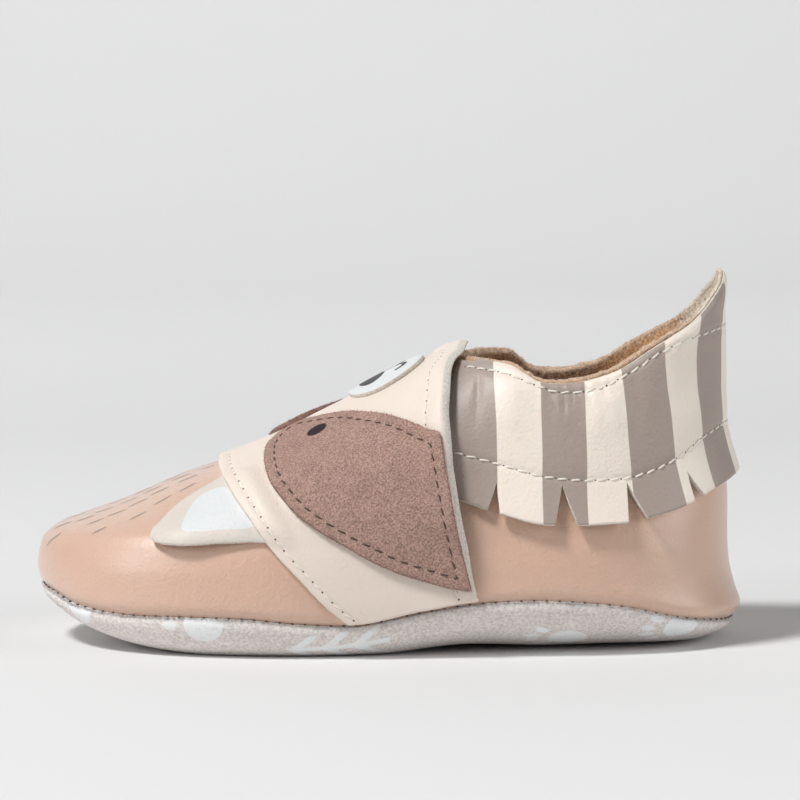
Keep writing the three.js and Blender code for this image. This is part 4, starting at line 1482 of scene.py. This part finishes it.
def fan_places(outline, rings):
    """Rings of flat points that shrink from an outline to its middle, closer together near the edge."""
    middle = outline.mean(axis=0)
    shares = np.sin(np.linspace(0, math.pi / 2, rings + 1))[1:]
    return np.concatenate([[middle]] + [mix(middle, outline, share) for share in shares])


def inset(outline, distance):
    """A closed line that runs that far inside an outline."""
    along = np.roll(outline, -1, axis=0) - np.roll(outline, 1, axis=0)
    along /= np.linalg.norm(along, axis=1, keepdims=True)
    normal = np.stack([along[:, 1], -along[:, 0]], axis=1)
    area = np.sum(outline[:, 0] * np.roll(outline[:, 1], -1) - np.roll(outline[:, 0], -1) * outline[:, 1])
    line = outline - normal * distance * np.sign(area)
    keep = -outline_distance(line, outline) > 0.9 * distance
    return line[keep]


def flat_outline(shares, scale, count=200):
    """An outline in millimetres from corners given as stations and ways down."""
    corners = [(station * LENGTH, down * scale) for station, down in shares]
    return outline_curve(corners, count)


def cut_shape(name, outline, scale, side, lift, thickness, materials, fields, node, rings=40):
    """A sheet cut to an outline of flat points. lift(x, down) is the height of its underside."""
    places = fan_places(outline, rings)
    x, down = places[:, 0], side * places[:, 1] / scale
    skin = vamp_point(x, down)
    edge = -outline_distance(places, outline)
    rounded = 0.2 * np.exp(-np.maximum(edge, 0) / 0.3)
    under = raised(skin, lift(x, down))
    top = raised(skin, lift(x, down) + thickness(places, edge) - rounded)
    faces = fan_faces(rings, len(outline))
    piece = leather_sheet(name, top, under, faces, materials, fields(places, edge), bulge=0.07)
    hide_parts(node)
    return piece


def on_panel(x, down):
    """Height of the panel's top above the last, where the next layer lies."""
    return panel_lift(x, down) + PANEL_LEATHER + 0.03


print("ridge to seam at the eye, in mm:", round(flat_scale(-0.03, -1), 1))

# %% [markdown]
# The eye patches
#
# A leaf of taupe suede lies round each eye. It ends behind in a point near the seam, and dark stitches run
# a little inside its edge, in a furrow of their own. The outline is a smooth curve through a few corners,
# and a corner that is given twice stays sharp. The eye is a small dark oval, printed like the rest.

# %% Eye patches
PATCH_OUTLINE = (
    # a point given twice is a sharp corner
    (-0.166, 0.345), (-0.162, 0.215), (-0.144, 0.12), (-0.118, 0.1), (-0.086, 0.155), (-0.052, 0.215),
    (-0.018, 0.295), (0.03, 0.395), (0.064, 0.465), (0.075, 0.48), (0.075, 0.48), (0.0765, 0.53),
    (0.081, 0.61), (0.0895, 0.72), (0.0985, 0.815), (0.1135, 0.955), (0.1135, 0.955), (0.084, 0.935),
    (0.052, 0.9), (0.018, 0.86), (-0.056, 0.74), (-0.09, 0.685), (-0.122, 0.62), (-0.146, 0.535),
    (-0.158, 0.47),
)
PATCH_STATION = -0.03
PATCH_THICKNESS = 1.05
PATCH_STITCH = 1.75


def make_eye_patch(side_name, side):
    """One suede patch with its printed eye and its row of dark stitches."""
    scale = flat_scale(PATCH_STATION, side)
    outline = flat_outline(PATCH_OUTLINE, scale)
    stitch_path = inset(outline, PATCH_STITCH)

    def thickness(places, edge):
        furrow = np.exp(-(((edge - PATCH_STITCH) / 0.5) ** 2))
        return PATCH_THICKNESS - 0.2 * furrow

    def fields(places, edge):
        eye = oval_distance(places, (-11.4, 0.266 * scale), 1.85, 1.5, -32)
        return {"print_mm": eye}

    piece = cut_shape(
        f"eye_patch_{side_name}_suede",
        outline,
        scale,
        side,
        on_panel,
        thickness,
        [taupe_suede, taupe_edge, taupe_edge],
        fields,
        f"eye_patch_{side_name}",
    )
    path = np.concatenate([stitch_path, stitch_path[:1]])
    x, down = path[:, 0], side * path[:, 1] / scale
    skin = vamp_point(x, down)
    line = raised(skin, on_panel(x, down) + PATCH_THICKNESS - 0.16)
    name = f"eye_patch_{side_name}_stitches"
    row = stitch_line(name, line, outward(line), dark_thread, fill=0.7, width=0.3, arch=0.03)
    return piece


# %% [markdown]
# The nose
#
# The nose patch is an oval of white leather, glued to the ridge of the panel, with a black nose and a
# smile printed on it. A cosine and a sine draw the oval. The print is the nearest of three simple
# distances: to an oval, to a short bar and to a pair of arcs.

# %% Nose patch
def make_nose():
    """The white oval with its printed nose and smile."""
    scale = flat_scale(0.005, -1)
    steps = np.linspace(0, 2 * math.pi, 16, endpoint=False)
    corners = np.stack([0.6 + 6.6 * np.cos(steps), (8.7 - 0.7 * np.cos(steps)) * np.sin(steps)], axis=1)
    outline = outline_curve(corners, 200)

    def thickness(places, edge):
        return 0.95 + 0.1 * ease(edge, 0, 4)

    def fields(places, edge):
        nose = oval_distance(places, (-1.7, 0.0), 4.9, 2.3, 90)
        bridge = np.maximum(np.abs(places[:, 1]) - 0.3, np.abs(places[:, 0] - 1.6) - 1.2)
        across = np.abs(places[:, 1])
        smile = np.abs(np.hypot(places[:, 0] - 2.0, across - 2.1) - 2.1) - 0.45
        smile = np.maximum(smile, 2.4 - places[:, 0])
        return {"print_mm": np.minimum(nose, np.minimum(bridge, smile))}

    return cut_shape(
        "nose_patch_leather",
        outline,
        scale,
        -1,
        on_panel,
        thickness,
        [nose_leather, cut_edge, flesh_side],
        fields,
        "nose_patch",
    )


print("ridge to seam at the nose, in mm:", round(flat_scale(0.005, -1), 1))

# %% [markdown]
# The ears
#
# An ear is a flap of cream leather with a white print, caught under the panel's front edge and free for
# the rest. The toe is round and the flap is stiff, so its lower edge stands off and throws a dark
# crescent of shadow. A cloth simulation could find that curl, but a lift that grows outwards, times a
# curve along the ear, gives the same each time and is easy to steer.

# %% Ears
EAR_OUTLINE = (
    (-0.322, 0.65), (-0.322, 0.612), (-0.31, 0.56), (-0.293, 0.46), (-0.267, 0.398), (-0.242, 0.36),
    (-0.222, 0.325), (-0.206, 0.33), (-0.19, 0.42), (-0.178, 0.53), (-0.16, 0.63), (-0.146, 0.7),
    (-0.163, 0.706), (-0.186, 0.702), (-0.205, 0.702), (-0.229, 0.702), (-0.261, 0.706), (-0.282, 0.702),
    (-0.301, 0.69), (-0.312, 0.676),
)
EAR_PRINT = (
    (-0.277, 0.65), (-0.278, 0.628), (-0.274, 0.564), (-0.262, 0.46), (-0.242, 0.424), (-0.229, 0.424),
    (-0.221, 0.436), (-0.205, 0.54), (-0.182, 0.645), (-0.182, 0.645), (-0.19, 0.652), (-0.226, 0.656),
    (-0.245, 0.66), (-0.266, 0.66),
)
EAR_LIFT = 1.5
EAR_CURL = smooth_curve(
    (-0.33, -0.31, -0.29, -0.27, -0.25, -0.225, -0.2, -0.175, -0.14),
    (0.35, 0.8, 1.0, 0.95, 0.75, 0.45, 0.18, 0.0, 0.0),
)


def ear_lift(x, down):
    """The lower edge of an ear stands off the toe, most of all towards its tip."""
    outwards = ease(np.abs(down), 0.44, 0.7)
    return 0.08 + EAR_LIFT * outwards * EAR_CURL(x / LENGTH)


def make_ear(side_name, side):
    """One ear with its white print."""
    scale = flat_scale(-0.24, side)
    outline = flat_outline(EAR_OUTLINE, scale)
    inner_print = flat_outline(EAR_PRINT, scale, 120)
    return cut_shape(
        f"ear_{side_name}_leather",
        outline,
        scale,
        side,
        ear_lift,
        lambda places, edge: np.full(len(places), EAR_LEATHER),
        [ear_leather, cut_edge, flesh_side],
        lambda places, edge: {"print_mm": outline_distance(places, inner_print)},
        f"ear_{side_name}",
    )


for side_name, side in (("outer", -1), ("inner", 1)):
    make_eye_patch(side_name, side)
    make_ear(side_name, side)
make_nose()

# %% [markdown]
# The cuff
#
# The cuff is one band of striped leather round the ankle. Above, it is turned over an elastic, which
# gathers it into fine puckers. Below its lower stitches it hangs free and is cut into a fringe. Its grid
# runs round the heel in columns: at each cut the columns on both sides lean together up to the tip of the
# cut, so the slit is real and its flaps can be bent one by one.

# %% Cuff columns
CUFF_STITCH_HEIGHT = 30.0
FRINGE_LENGTH = 8.0
CUFF_DROP = 0.7
CUFF_FRONT = 9.0
CUFF_END = HEEL_AXIS - CUFF_FRONT + HEEL_QUARTER
CUFF_LEATHER = 1.0
CUFF_LINES = table_curves(
    ("back", "stitch", "hem"),
    (
        (0, 1.03, 0.0), (5, 1.0, -0.1), (10, 0.8, -0.3), (15, 0.42, -0.6), (20, 0.14, -0.8),
        (24.5, 0.01, -0.92), (29, 0.0, -0.94), (36, 0.08, -0.92), (44, 0.35, -0.68), (54.3, 0.66, -0.22),
    ),
)
UPPER_STITCHES = table_curves(
    ("back", "height"),
    (
        (0, 55.6), (5, 55.2), (10.2, 54.2), (16.7, 51.4), (20, 49.0), (23.5, 47.0), (26.7, 45.5),
        (30.2, 44.8), (33.5, 44.8), (37, 45.7), (43.5, 47.6), (49.2, 47.9), (54.3, 48.0),
    ),
)
FRINGE_CUTS = (
    # tip, front, back, depth
    (44.6, 46.3, 44.1, 0.62),
    (33.5, 34.9, 31.0, 0.84),
    (23.6, 24.0, 21.3, 0.84),
    (14.3, 14.2, 12.5, 0.66),
)
CUT_SIDE = 1.3
BACK_CUT = (0.0, 0.0, 0.8, 4.5)
BACK_CUT_SIDE = (1.1, CUT_SIDE, 0.0, 4)


def cuff_columns():
    """Place at the hem, place at the stitches, depth of the cut and number of the flap, per column."""
    anchors = [(CUFF_END, CUFF_END, 0.0, 0)]
    for flap, (tip, front, rear, depth) in enumerate(FRINGE_CUTS):
        anchors.append((front, tip + CUT_SIDE, 0.0, flap))
        anchors.append((tip, tip, depth, flap + 0.5))
        anchors.append((rear, tip - CUT_SIDE, 0.0, flap + 1))
    anchors += [BACK_CUT_SIDE, BACK_CUT]
    half = []
    for near, far in zip(anchors, anchors[1:]):
        count = max(3, round(abs(near[1] - far[1]) / 0.5))
        for k in range(count):
            half.append(tuple(mix(a, b, k / count) for a, b in zip(near, far)))
    outer = [(-low, -high, cut, flap) for low, high, cut, flap in half]
    inner = [(low, high, cut, 9 - flap) for low, high, cut, flap in half]
    return np.array(outer + [BACK_CUT] + inner[::-1])


def cuff_stitch_height(place):
    """Height of the lower row of stitches, from which the fringe hangs."""
    return CUFF_STITCH_HEIGHT + FRINGE_LENGTH * CUFF_LINES["stitch"](np.abs(place))


def cuff_drop(place):
    """How far the cuff's top edge stays below the edge of the opening."""
    return CUFF_DROP * ease(np.abs(place), 8, 20)


SAG_PLACES = np.linspace(-56, 56, 225)
SAG_DEPTHS = opening_height(-np.abs(SAG_PLACES)) - opening_height(SAG_PLACES)


def upper_stitch_height(place):
    """Height of the upper row of stitches, which follows the lower rim on the inner side."""
    return UPPER_STITCHES["height"](np.abs(place)) - np.interp(place, SAG_PLACES, SAG_DEPTHS)


print("columns round the cuff:", len(cuff_columns()))

# %% [markdown]
# Puckers and folds
#
# The cuff's surface is a sum of small heights above the last: a swell between its two rows of stitches, a
# furrow under each row, the flare of the free flaps, and what the elastic does to the leather. Waves
# alone look like corrugated card. So the fine puckers are faint waves, and the main folds are listed
# in a table, each as a line with a width and a depth, most of them beside the ankle.

# %% Cuff surface
FLAP_LIFTS = (0.5, 0.9, 1.0, 1.0, 1.1, 1.1, 1.0, 1.0, 0.9, 0.5)
FOLD_STRENGTH = 1.3
PUCKER_DEPTH = 0.16
PUCKER_PLACE = 32


def cuff_rise(z):
    """0 at the lower stitches and 1 at the height of the instep."""
    return np.clip((z - CUFF_STITCH_HEIGHT) / (INSTEP_HEIGHT - CUFF_STITCH_HEIGHT), 0, 1)


def cuff_lift(place, z, flap):
    """Height of the cuff's underside above the last."""
    stitch = cuff_stitch_height(place)
    over_collar = 0.35 * ease(np.abs(place), 36, 46) * cuff_rise(z)
    hem_stitch = upper_stitch_height(place)
    tight = ease(z, hem_stitch, hem_stitch + 2.5)
    drop = np.clip((stitch - z) / FRINGE_LENGTH, 0, 1.2)
    flare = np.interp(flap, np.arange(len(FLAP_LIFTS)), FLAP_LIFTS)
    loose = flare * drop**1.4 * (1 - ease(np.abs(place), 47, 52))
    share = np.clip((z - stitch) / (hem_stitch - stitch), 0, 1)
    puff = 0.35 * np.sin(math.pi * share) ** 0.8 * (1 - ease(np.abs(place), 42, 50))
    return 0.3 - 0.22 * tight + over_collar + loose + puff


def pucker(place, z):
    """The fine folds that the elastic gathers into the leather, strongest beside the ankle."""
    far = np.abs(place)
    below = upper_stitch_height(place) - z
    beside = np.exp(-(((far - PUCKER_PLACE) / 5.5) ** 2)) + 0.3 * np.exp(-(((far - 21) / 7) ** 2))
    fade = np.where(below > 0, np.exp(-((below / 4.2) ** 2)), 1.0)
    spread = 1 + 0.035 * np.clip(below, 0, 12)
    fan = (far - PUCKER_PLACE) / spread
    folds = 0.5 * np.sin(fan * 2 * math.pi / 1.35 + 0.6 * np.sin(z * 0.9))
    folds = folds + 0.5 * np.sin(fan * 2 * math.pi / 2.1 + 1.3 + 0.5 * np.sin(z * 0.5))
    return PUCKER_DEPTH * beside * fade * folds


CUFF_FOLDS = (
    # from place and height, to place and height, half width, depth
    (-35.8, 45.0, -34.1, 41.3, 0.34, -0.22), (-34.9, 45.0, -33.4, 39.6, 0.36, -0.26),
    (-33.9, 44.8, -32.9, 41.2, 0.32, -0.2), (-32.7, 44.7, -33.0, 39.4, 0.38, -0.26),
    (-31.7, 44.8, -31.8, 41.0, 0.32, -0.2), (-30.7, 44.9, -29.9, 42.0, 0.34, -0.18),
    (-34.4, 44.0, -32.3, 37.5, 1.0, 0.24), (-29.2, 45.9, -27.5, 41.0, 0.45, -0.18),
    (-26.8, 46.8, -24.6, 41.8, 0.5, -0.2), (-25.7, 44.0, -24.2, 36.5, 1.5, 0.42),
    (-28.0, 45.0, -27.2, 35.5, 1.3, 0.28), (-41.5, 46.0, -42.5, 36.0, 2.6, 0.35),
    (-21.5, 47.5, -20.2, 39.0, 0.9, -0.22), (-18.5, 50.0, -18.0, 40.0, 2.2, 0.3),
    (-11.5, 53.0, -12.5, 40.0, 1.6, -0.25), (-47.5, 46.5, -48.5, 38.0, 1.2, -0.2),
)


def hand_folds(place, z):
    """Soft troughs and ridges of the band, laid one by one where the elastic pulls it in."""
    total = np.zeros(len(place))
    for ax, az, bx, bz, width, depth in CUFF_FOLDS:
        for mirror in (1, -1):
            px, pz, rx, rz = place * mirror - ax, z - az, bx - ax, bz - az
            along = (px * rx + pz * rz) / (rx * rx + rz * rz)
            near = np.clip(along, 0, 1)
            off = np.hypot(px - near * rx, pz - near * rz)
            fade = ease(along, -0.15, 0.15) * (1 - ease(along, 0.45, 1.1))
            total += FOLD_STRENGTH * depth * fade * np.exp(-((off / width) ** 2))
    return total


def cuff_skin(place, z, top, flap):
    """The grain and the flesh side of the cuff at places on the heel wall, below its top edge."""
    near_front = ease(np.abs(place), 46, 52)
    wall = wall_point(place - np.sign(place) * 4.3 * near_front * cuff_rise(z) ** 2, z)
    furrow = np.exp(-(((z - cuff_stitch_height(place)) / 0.5) ** 2))
    furrow = furrow + np.exp(-(((upper_stitch_height(place) - z) / 0.5) ** 2))
    rounded = 0.25 * np.exp(-np.maximum(top - z, 0) / 0.25)
    height = cuff_lift(place, z, flap)
    folds = pucker(place, z) + hand_folds(place, z) + 0.07 * unevenness(wall, 9, 5)
    skived = CUFF_LEATHER * (1 - 0.45 * np.exp(-np.maximum(top - z, 0) / 0.9))
    return raised(wall, height + skived - 0.18 * furrow - rounded + folds), raised(wall, height)


deepest_fold = float(np.abs(hand_folds(np.linspace(-52, 0, 500), np.full(500, 43.0))).max())
print("deepest fold 43 mm up, in mm:", round(deepest_fold, 2))

# %% [markdown]
# Band, stripes and rows of stitches
#
# The stripes were printed before the band was cut, so they are straight on the flat strip and lean back
# with it on the tab. A list of their edges is enough: an even count of edges passed means grey. The
# stitches are read from the same function as the leather, so they follow every fold.

# %% Cuff
BAND_ROWS = 61
FRINGE_ROWS = 20
STRIPE_EDGES = (-44.5, -36.8, -29.3, -22.9, -15.7, -10.4, -4.7, 2.5, 9.7, 16.9, 24.1, 31.3, 38.5, 45.7)
STRIPE_LEAN = 2.0
CUFF_PITCH = 2.3


def stripe_distance(place):
    """Distance to the nearest edge of a stripe, below zero on a grey one."""
    edges = np.array(STRIPE_EDGES)
    nearest = np.abs(place[:, None] - edges).min(axis=1)
    passed = (place[:, None] > edges).sum(axis=1)
    return np.where(passed % 2 == 0, -nearest, nearest)


def make_cuff():
    """The striped band round the ankle with its fringe."""
    columns = cuff_columns()
    low, high, cut, flap = columns.T
    band = np.linspace(0, 1, BAND_ROWS + 1)
    fringe = np.linspace(0, 1, FRINGE_ROWS + 1)[1:]
    top = opening_height(high) - cuff_drop(high)
    stitch = cuff_stitch_height(high)
    hem = CUFF_STITCH_HEIGHT + FRINGE_LENGTH * CUFF_LINES["hem"](np.abs(low))
    bottom = hem + FRINGE_LENGTH * cut
    places, heights = [], []
    for share in band:
        places.append(high)
        heights.append(mix(top, stitch, share))
    for share in fringe:
        places.append(mix(high, low, share))
        heights.append(mix(stitch, bottom, share))
    rows = len(places)
    place, z = np.concatenate(places), np.concatenate(heights)
    top, flap = np.tile(top, rows), np.tile(flap, rows)
    grain, flesh = cuff_skin(place, z, top, flap)
    leaning = STRIPE_LEAN * ease(z, 52, 63)
    stripe = stripe_distance(place - leaning + 0.15 * unevenness(grain, 12, 9))
    piece = leather_sheet(
        "heel_cuff_leather",
        grain,
        flesh,
        grid_faces(rows - 1, len(columns) - 1),
        [striped_leather, cut_edge, flesh_side],
        {"stripe_mm": stripe},
        bulge=0.06,
        rough_edge=0.02,
    )
    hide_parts("heel_cuff")
    return piece


def cuff_stitches():
    """The two rows of cream stitches round the cuff, with their needle holes."""
    place = np.linspace(-52.5, 52.5, 900)
    top = opening_height(place) - cuff_drop(place)
    flap = np.full(len(place), 2.0)
    lines = {"upper": upper_stitch_height(place), "lower": cuff_stitch_height(place)}
    for name, z in lines.items():
        line, _ = cuff_skin(place, z, top, flap)
        normals = outward(line)
        row = stitch_line(
            f"cuff_{name}_stitches", line, normals, cream_thread, CUFF_PITCH, fill=0.8, slant=0.14
        )
        holes = hole_line(f"cuff_{name}_needle_holes", line, normals, CUFF_PITCH)


make_cuff()
cuff_stitches()

# %% [markdown]
# Loose fibres
#
# Brushed suede and raw cuts shed fibres, and against a pale ground it is these few that make an edge look
# soft. Each is a spike with three sides, rooted in the edge and bent a random way. They are drawn thicker
# than real fibres, which a camera couldn't resolve, and only where the outline of a piece shows them.

# %% Fibres along the edges
def fibres(name, roots, directions, lengths, width, material, fields):
    """One mesh of tapered spikes. Each point of a spike takes the field values of its root."""
    ahead = directions / np.linalg.norm(directions, axis=1, keepdims=True)
    side = np.cross(ahead, rng.standard_normal(ahead.shape))
    side /= np.linalg.norm(side, axis=1, keepdims=True)
    other = np.cross(ahead, side)
    corners = []
    for turn in (0, 2 * math.pi / 3, 4 * math.pi / 3):
        corners.append(roots + (side * math.cos(turn) + other * math.sin(turn)) * width / 2)
    corners.append(roots + ahead * lengths[:, None] + side * lengths[:, None] * 0.25)
    points = np.stack(corners, axis=1).reshape(-1, 3)
    start = np.arange(len(roots))[:, None] * 4
    faces = np.concatenate([start + shape for shape in ([0, 1, 3], [1, 2, 3], [2, 0, 3], [0, 2, 1])])
    spread = {field: np.repeat(values, 4) for field, values in fields.items()}
    piece = make_piece(name, points, faces.tolist(), [material], None, spread)
    return piece


def rim_fibres(count=12000):
    """The nap of the lining along the foot opening."""
    turn = rng.uniform(-math.pi, math.pi, count)
    top = topline_height(turn)
    below = rng.uniform(0, 1, count) ** 2 * 2.5
    skin = level_point(turn, top - below)
    thickness = wall_thickness(top)
    inwards = np.where(below > 0.5, thickness, thickness * rng.uniform(0.1, 1.0, count))
    roots = raised(skin, -inwards)
    directions = -0.5 * outward(skin) + np.array([0, 0, 0.8]) + 0.55 * rng.standard_normal((count, 3))
    pale = np.maximum(ease(np.abs(turn), 2.3, 2.55), rng.uniform(0.1, 1.0, count))
    lengths = rng.uniform(0.35, 0.95, count)
    fields = {"pale": pale}
    fibres("lining_rim_fibres", roots, directions, lengths, 0.09, lining_suede, fields)


def patch_fibres(side_name, side, count=3000):
    """The fluff along the cut edge of an eye patch."""
    scale = flat_scale(PATCH_STATION, side)
    outline = flat_outline(PATCH_OUTLINE, scale, 600)
    at = rng.integers(0, len(outline), count)
    middle = outline.mean(axis=0)
    out = outline[at] - middle
    out /= np.linalg.norm(out, axis=1, keepdims=True)
    near = outline[at] - out * rng.uniform(0, 0.25, count)[:, None]
    beyond = near + out * 0.3

    def on_patch(places, height):
        x, down = places[:, 0], side * places[:, 1] / scale
        return raised(vamp_point(x, down), on_panel(x, down) + height)

    height = rng.uniform(0.15, PATCH_THICKNESS - 0.1, count)
    roots = on_patch(near, height)
    directions = on_patch(beyond, height + 0.1) - roots
    directions = directions + 0.16 * rng.standard_normal((count, 3))
    lengths = rng.uniform(0.2, 0.5, count)
    fields = {"print_mm": np.full(count, FAR_FROM_PRINT)}
    name = f"eye_patch_{side_name}_fibres"
    fibres(name, roots, directions, lengths, 0.1, taupe_suede, fields)


def sole_fibres(count=6000):
    """The fluff of the sole's edge in the seam."""
    turn = rng.uniform(-math.pi, math.pi, count)
    seam = seam_point(turn, -0.1)
    roots = seam - outward(seam) * 0.35
    directions = outward(seam) + 0.5 * rng.standard_normal((count, 3)) - np.array([0, 0, 0.3])
    lengths = rng.uniform(0.3, 0.7, count)
    fields = {"print_mm": np.full(count, FAR_FROM_PRINT)}
    fibres("sole_rim_fibres", roots, directions, lengths, 0.11, sole_suede, fields)


rim_fibres()
patch_fibres("outer", -1)
patch_fibres("inner", 1)
sole_fibres()

# %% [markdown]
# The strokes on the toe
#
# Short grey strokes are printed on the toe, as hairs. They are far narrower than the grid of the upper,
# so each is a thin strip of its own that lies a few hundredths of a millimetre above the leather.

# %% Toe strokes
STROKES = (
    # x, down, length, slant in degrees
    (-57.6, -0.24, 3.4, 12), (-58.9, -0.47, 3.4, 34), (-53.6, -0.24, 3.6, 12), (-51.4, -0.36, 3.4, 26),
    (-50.2, -0.16, 3.6, 6), (-47.6, -0.30, 3.5, 20), (-50.4, -0.5, 3.2, 38), (-45.9, -0.13, 3.6, 4),
    (-44.0, -0.24, 3.6, 16), (-43.6, -0.42, 3.4, 32), (-41.6, -0.10, 3.6, 2), (-40.2, -0.19, 3.6, 12),
    (-39.4, -0.33, 3.4, 26), (-36.6, -0.08, 3.6, 0), (-35.2, -0.17, 3.6, 12), (-35.0, -0.29, 3.4, 24),
    (-32.0, -0.07, 3.4, 0), (-55.4, 0.0, 3.4, 0), (-48.2, 0.0, 3.4, 0), (-43.6, 0.0, 3.4, 0),
    (-38.6, 0.0, 3.4, 0),
)
STROKE_HALF_WIDTH = 0.22
INK_LIFT = 0.04


def make_strokes():
    """The printed hairs. Those beside the ridge are repeated on the inner side."""
    sections = 9
    points, faces = [], []
    mirrored = [(x, -down, length, slant) for x, down, length, slant in STROKES if down < 0]
    for x, down, length, slant in list(STROKES) + mirrored:
        side = 1 if down > 0 else -1
        scale = flat_scale(x / LENGTH, side)
        share = np.linspace(-0.5, 0.5, sections)
        turn = math.radians(slant) * side
        along_x = x + share * length * math.cos(turn)
        along_v = down * scale + share * length * -math.sin(turn)
        width = STROKE_HALF_WIDTH * np.sqrt(np.clip(1 - (2 * share) ** 2, 0.03, 1))
        for edge in (-1, 1):
            edge_x = along_x + edge * width * math.sin(turn)
            edge_v = along_v + edge * width * math.cos(turn)
            skin = vamp_point(edge_x, edge_v / scale)
            points.append(raised(skin, skin_wave(skin) + INK_LIFT))
        start = len(points) * sections - 2 * sections
        for k in range(sections - 1):
            faces.append([start + k, start + k + 1, start + sections + k + 1, start + sections + k])
    piece = make_piece("toe_strokes", np.concatenate(points), faces, [grey_ink])
    return piece


make_strokes()
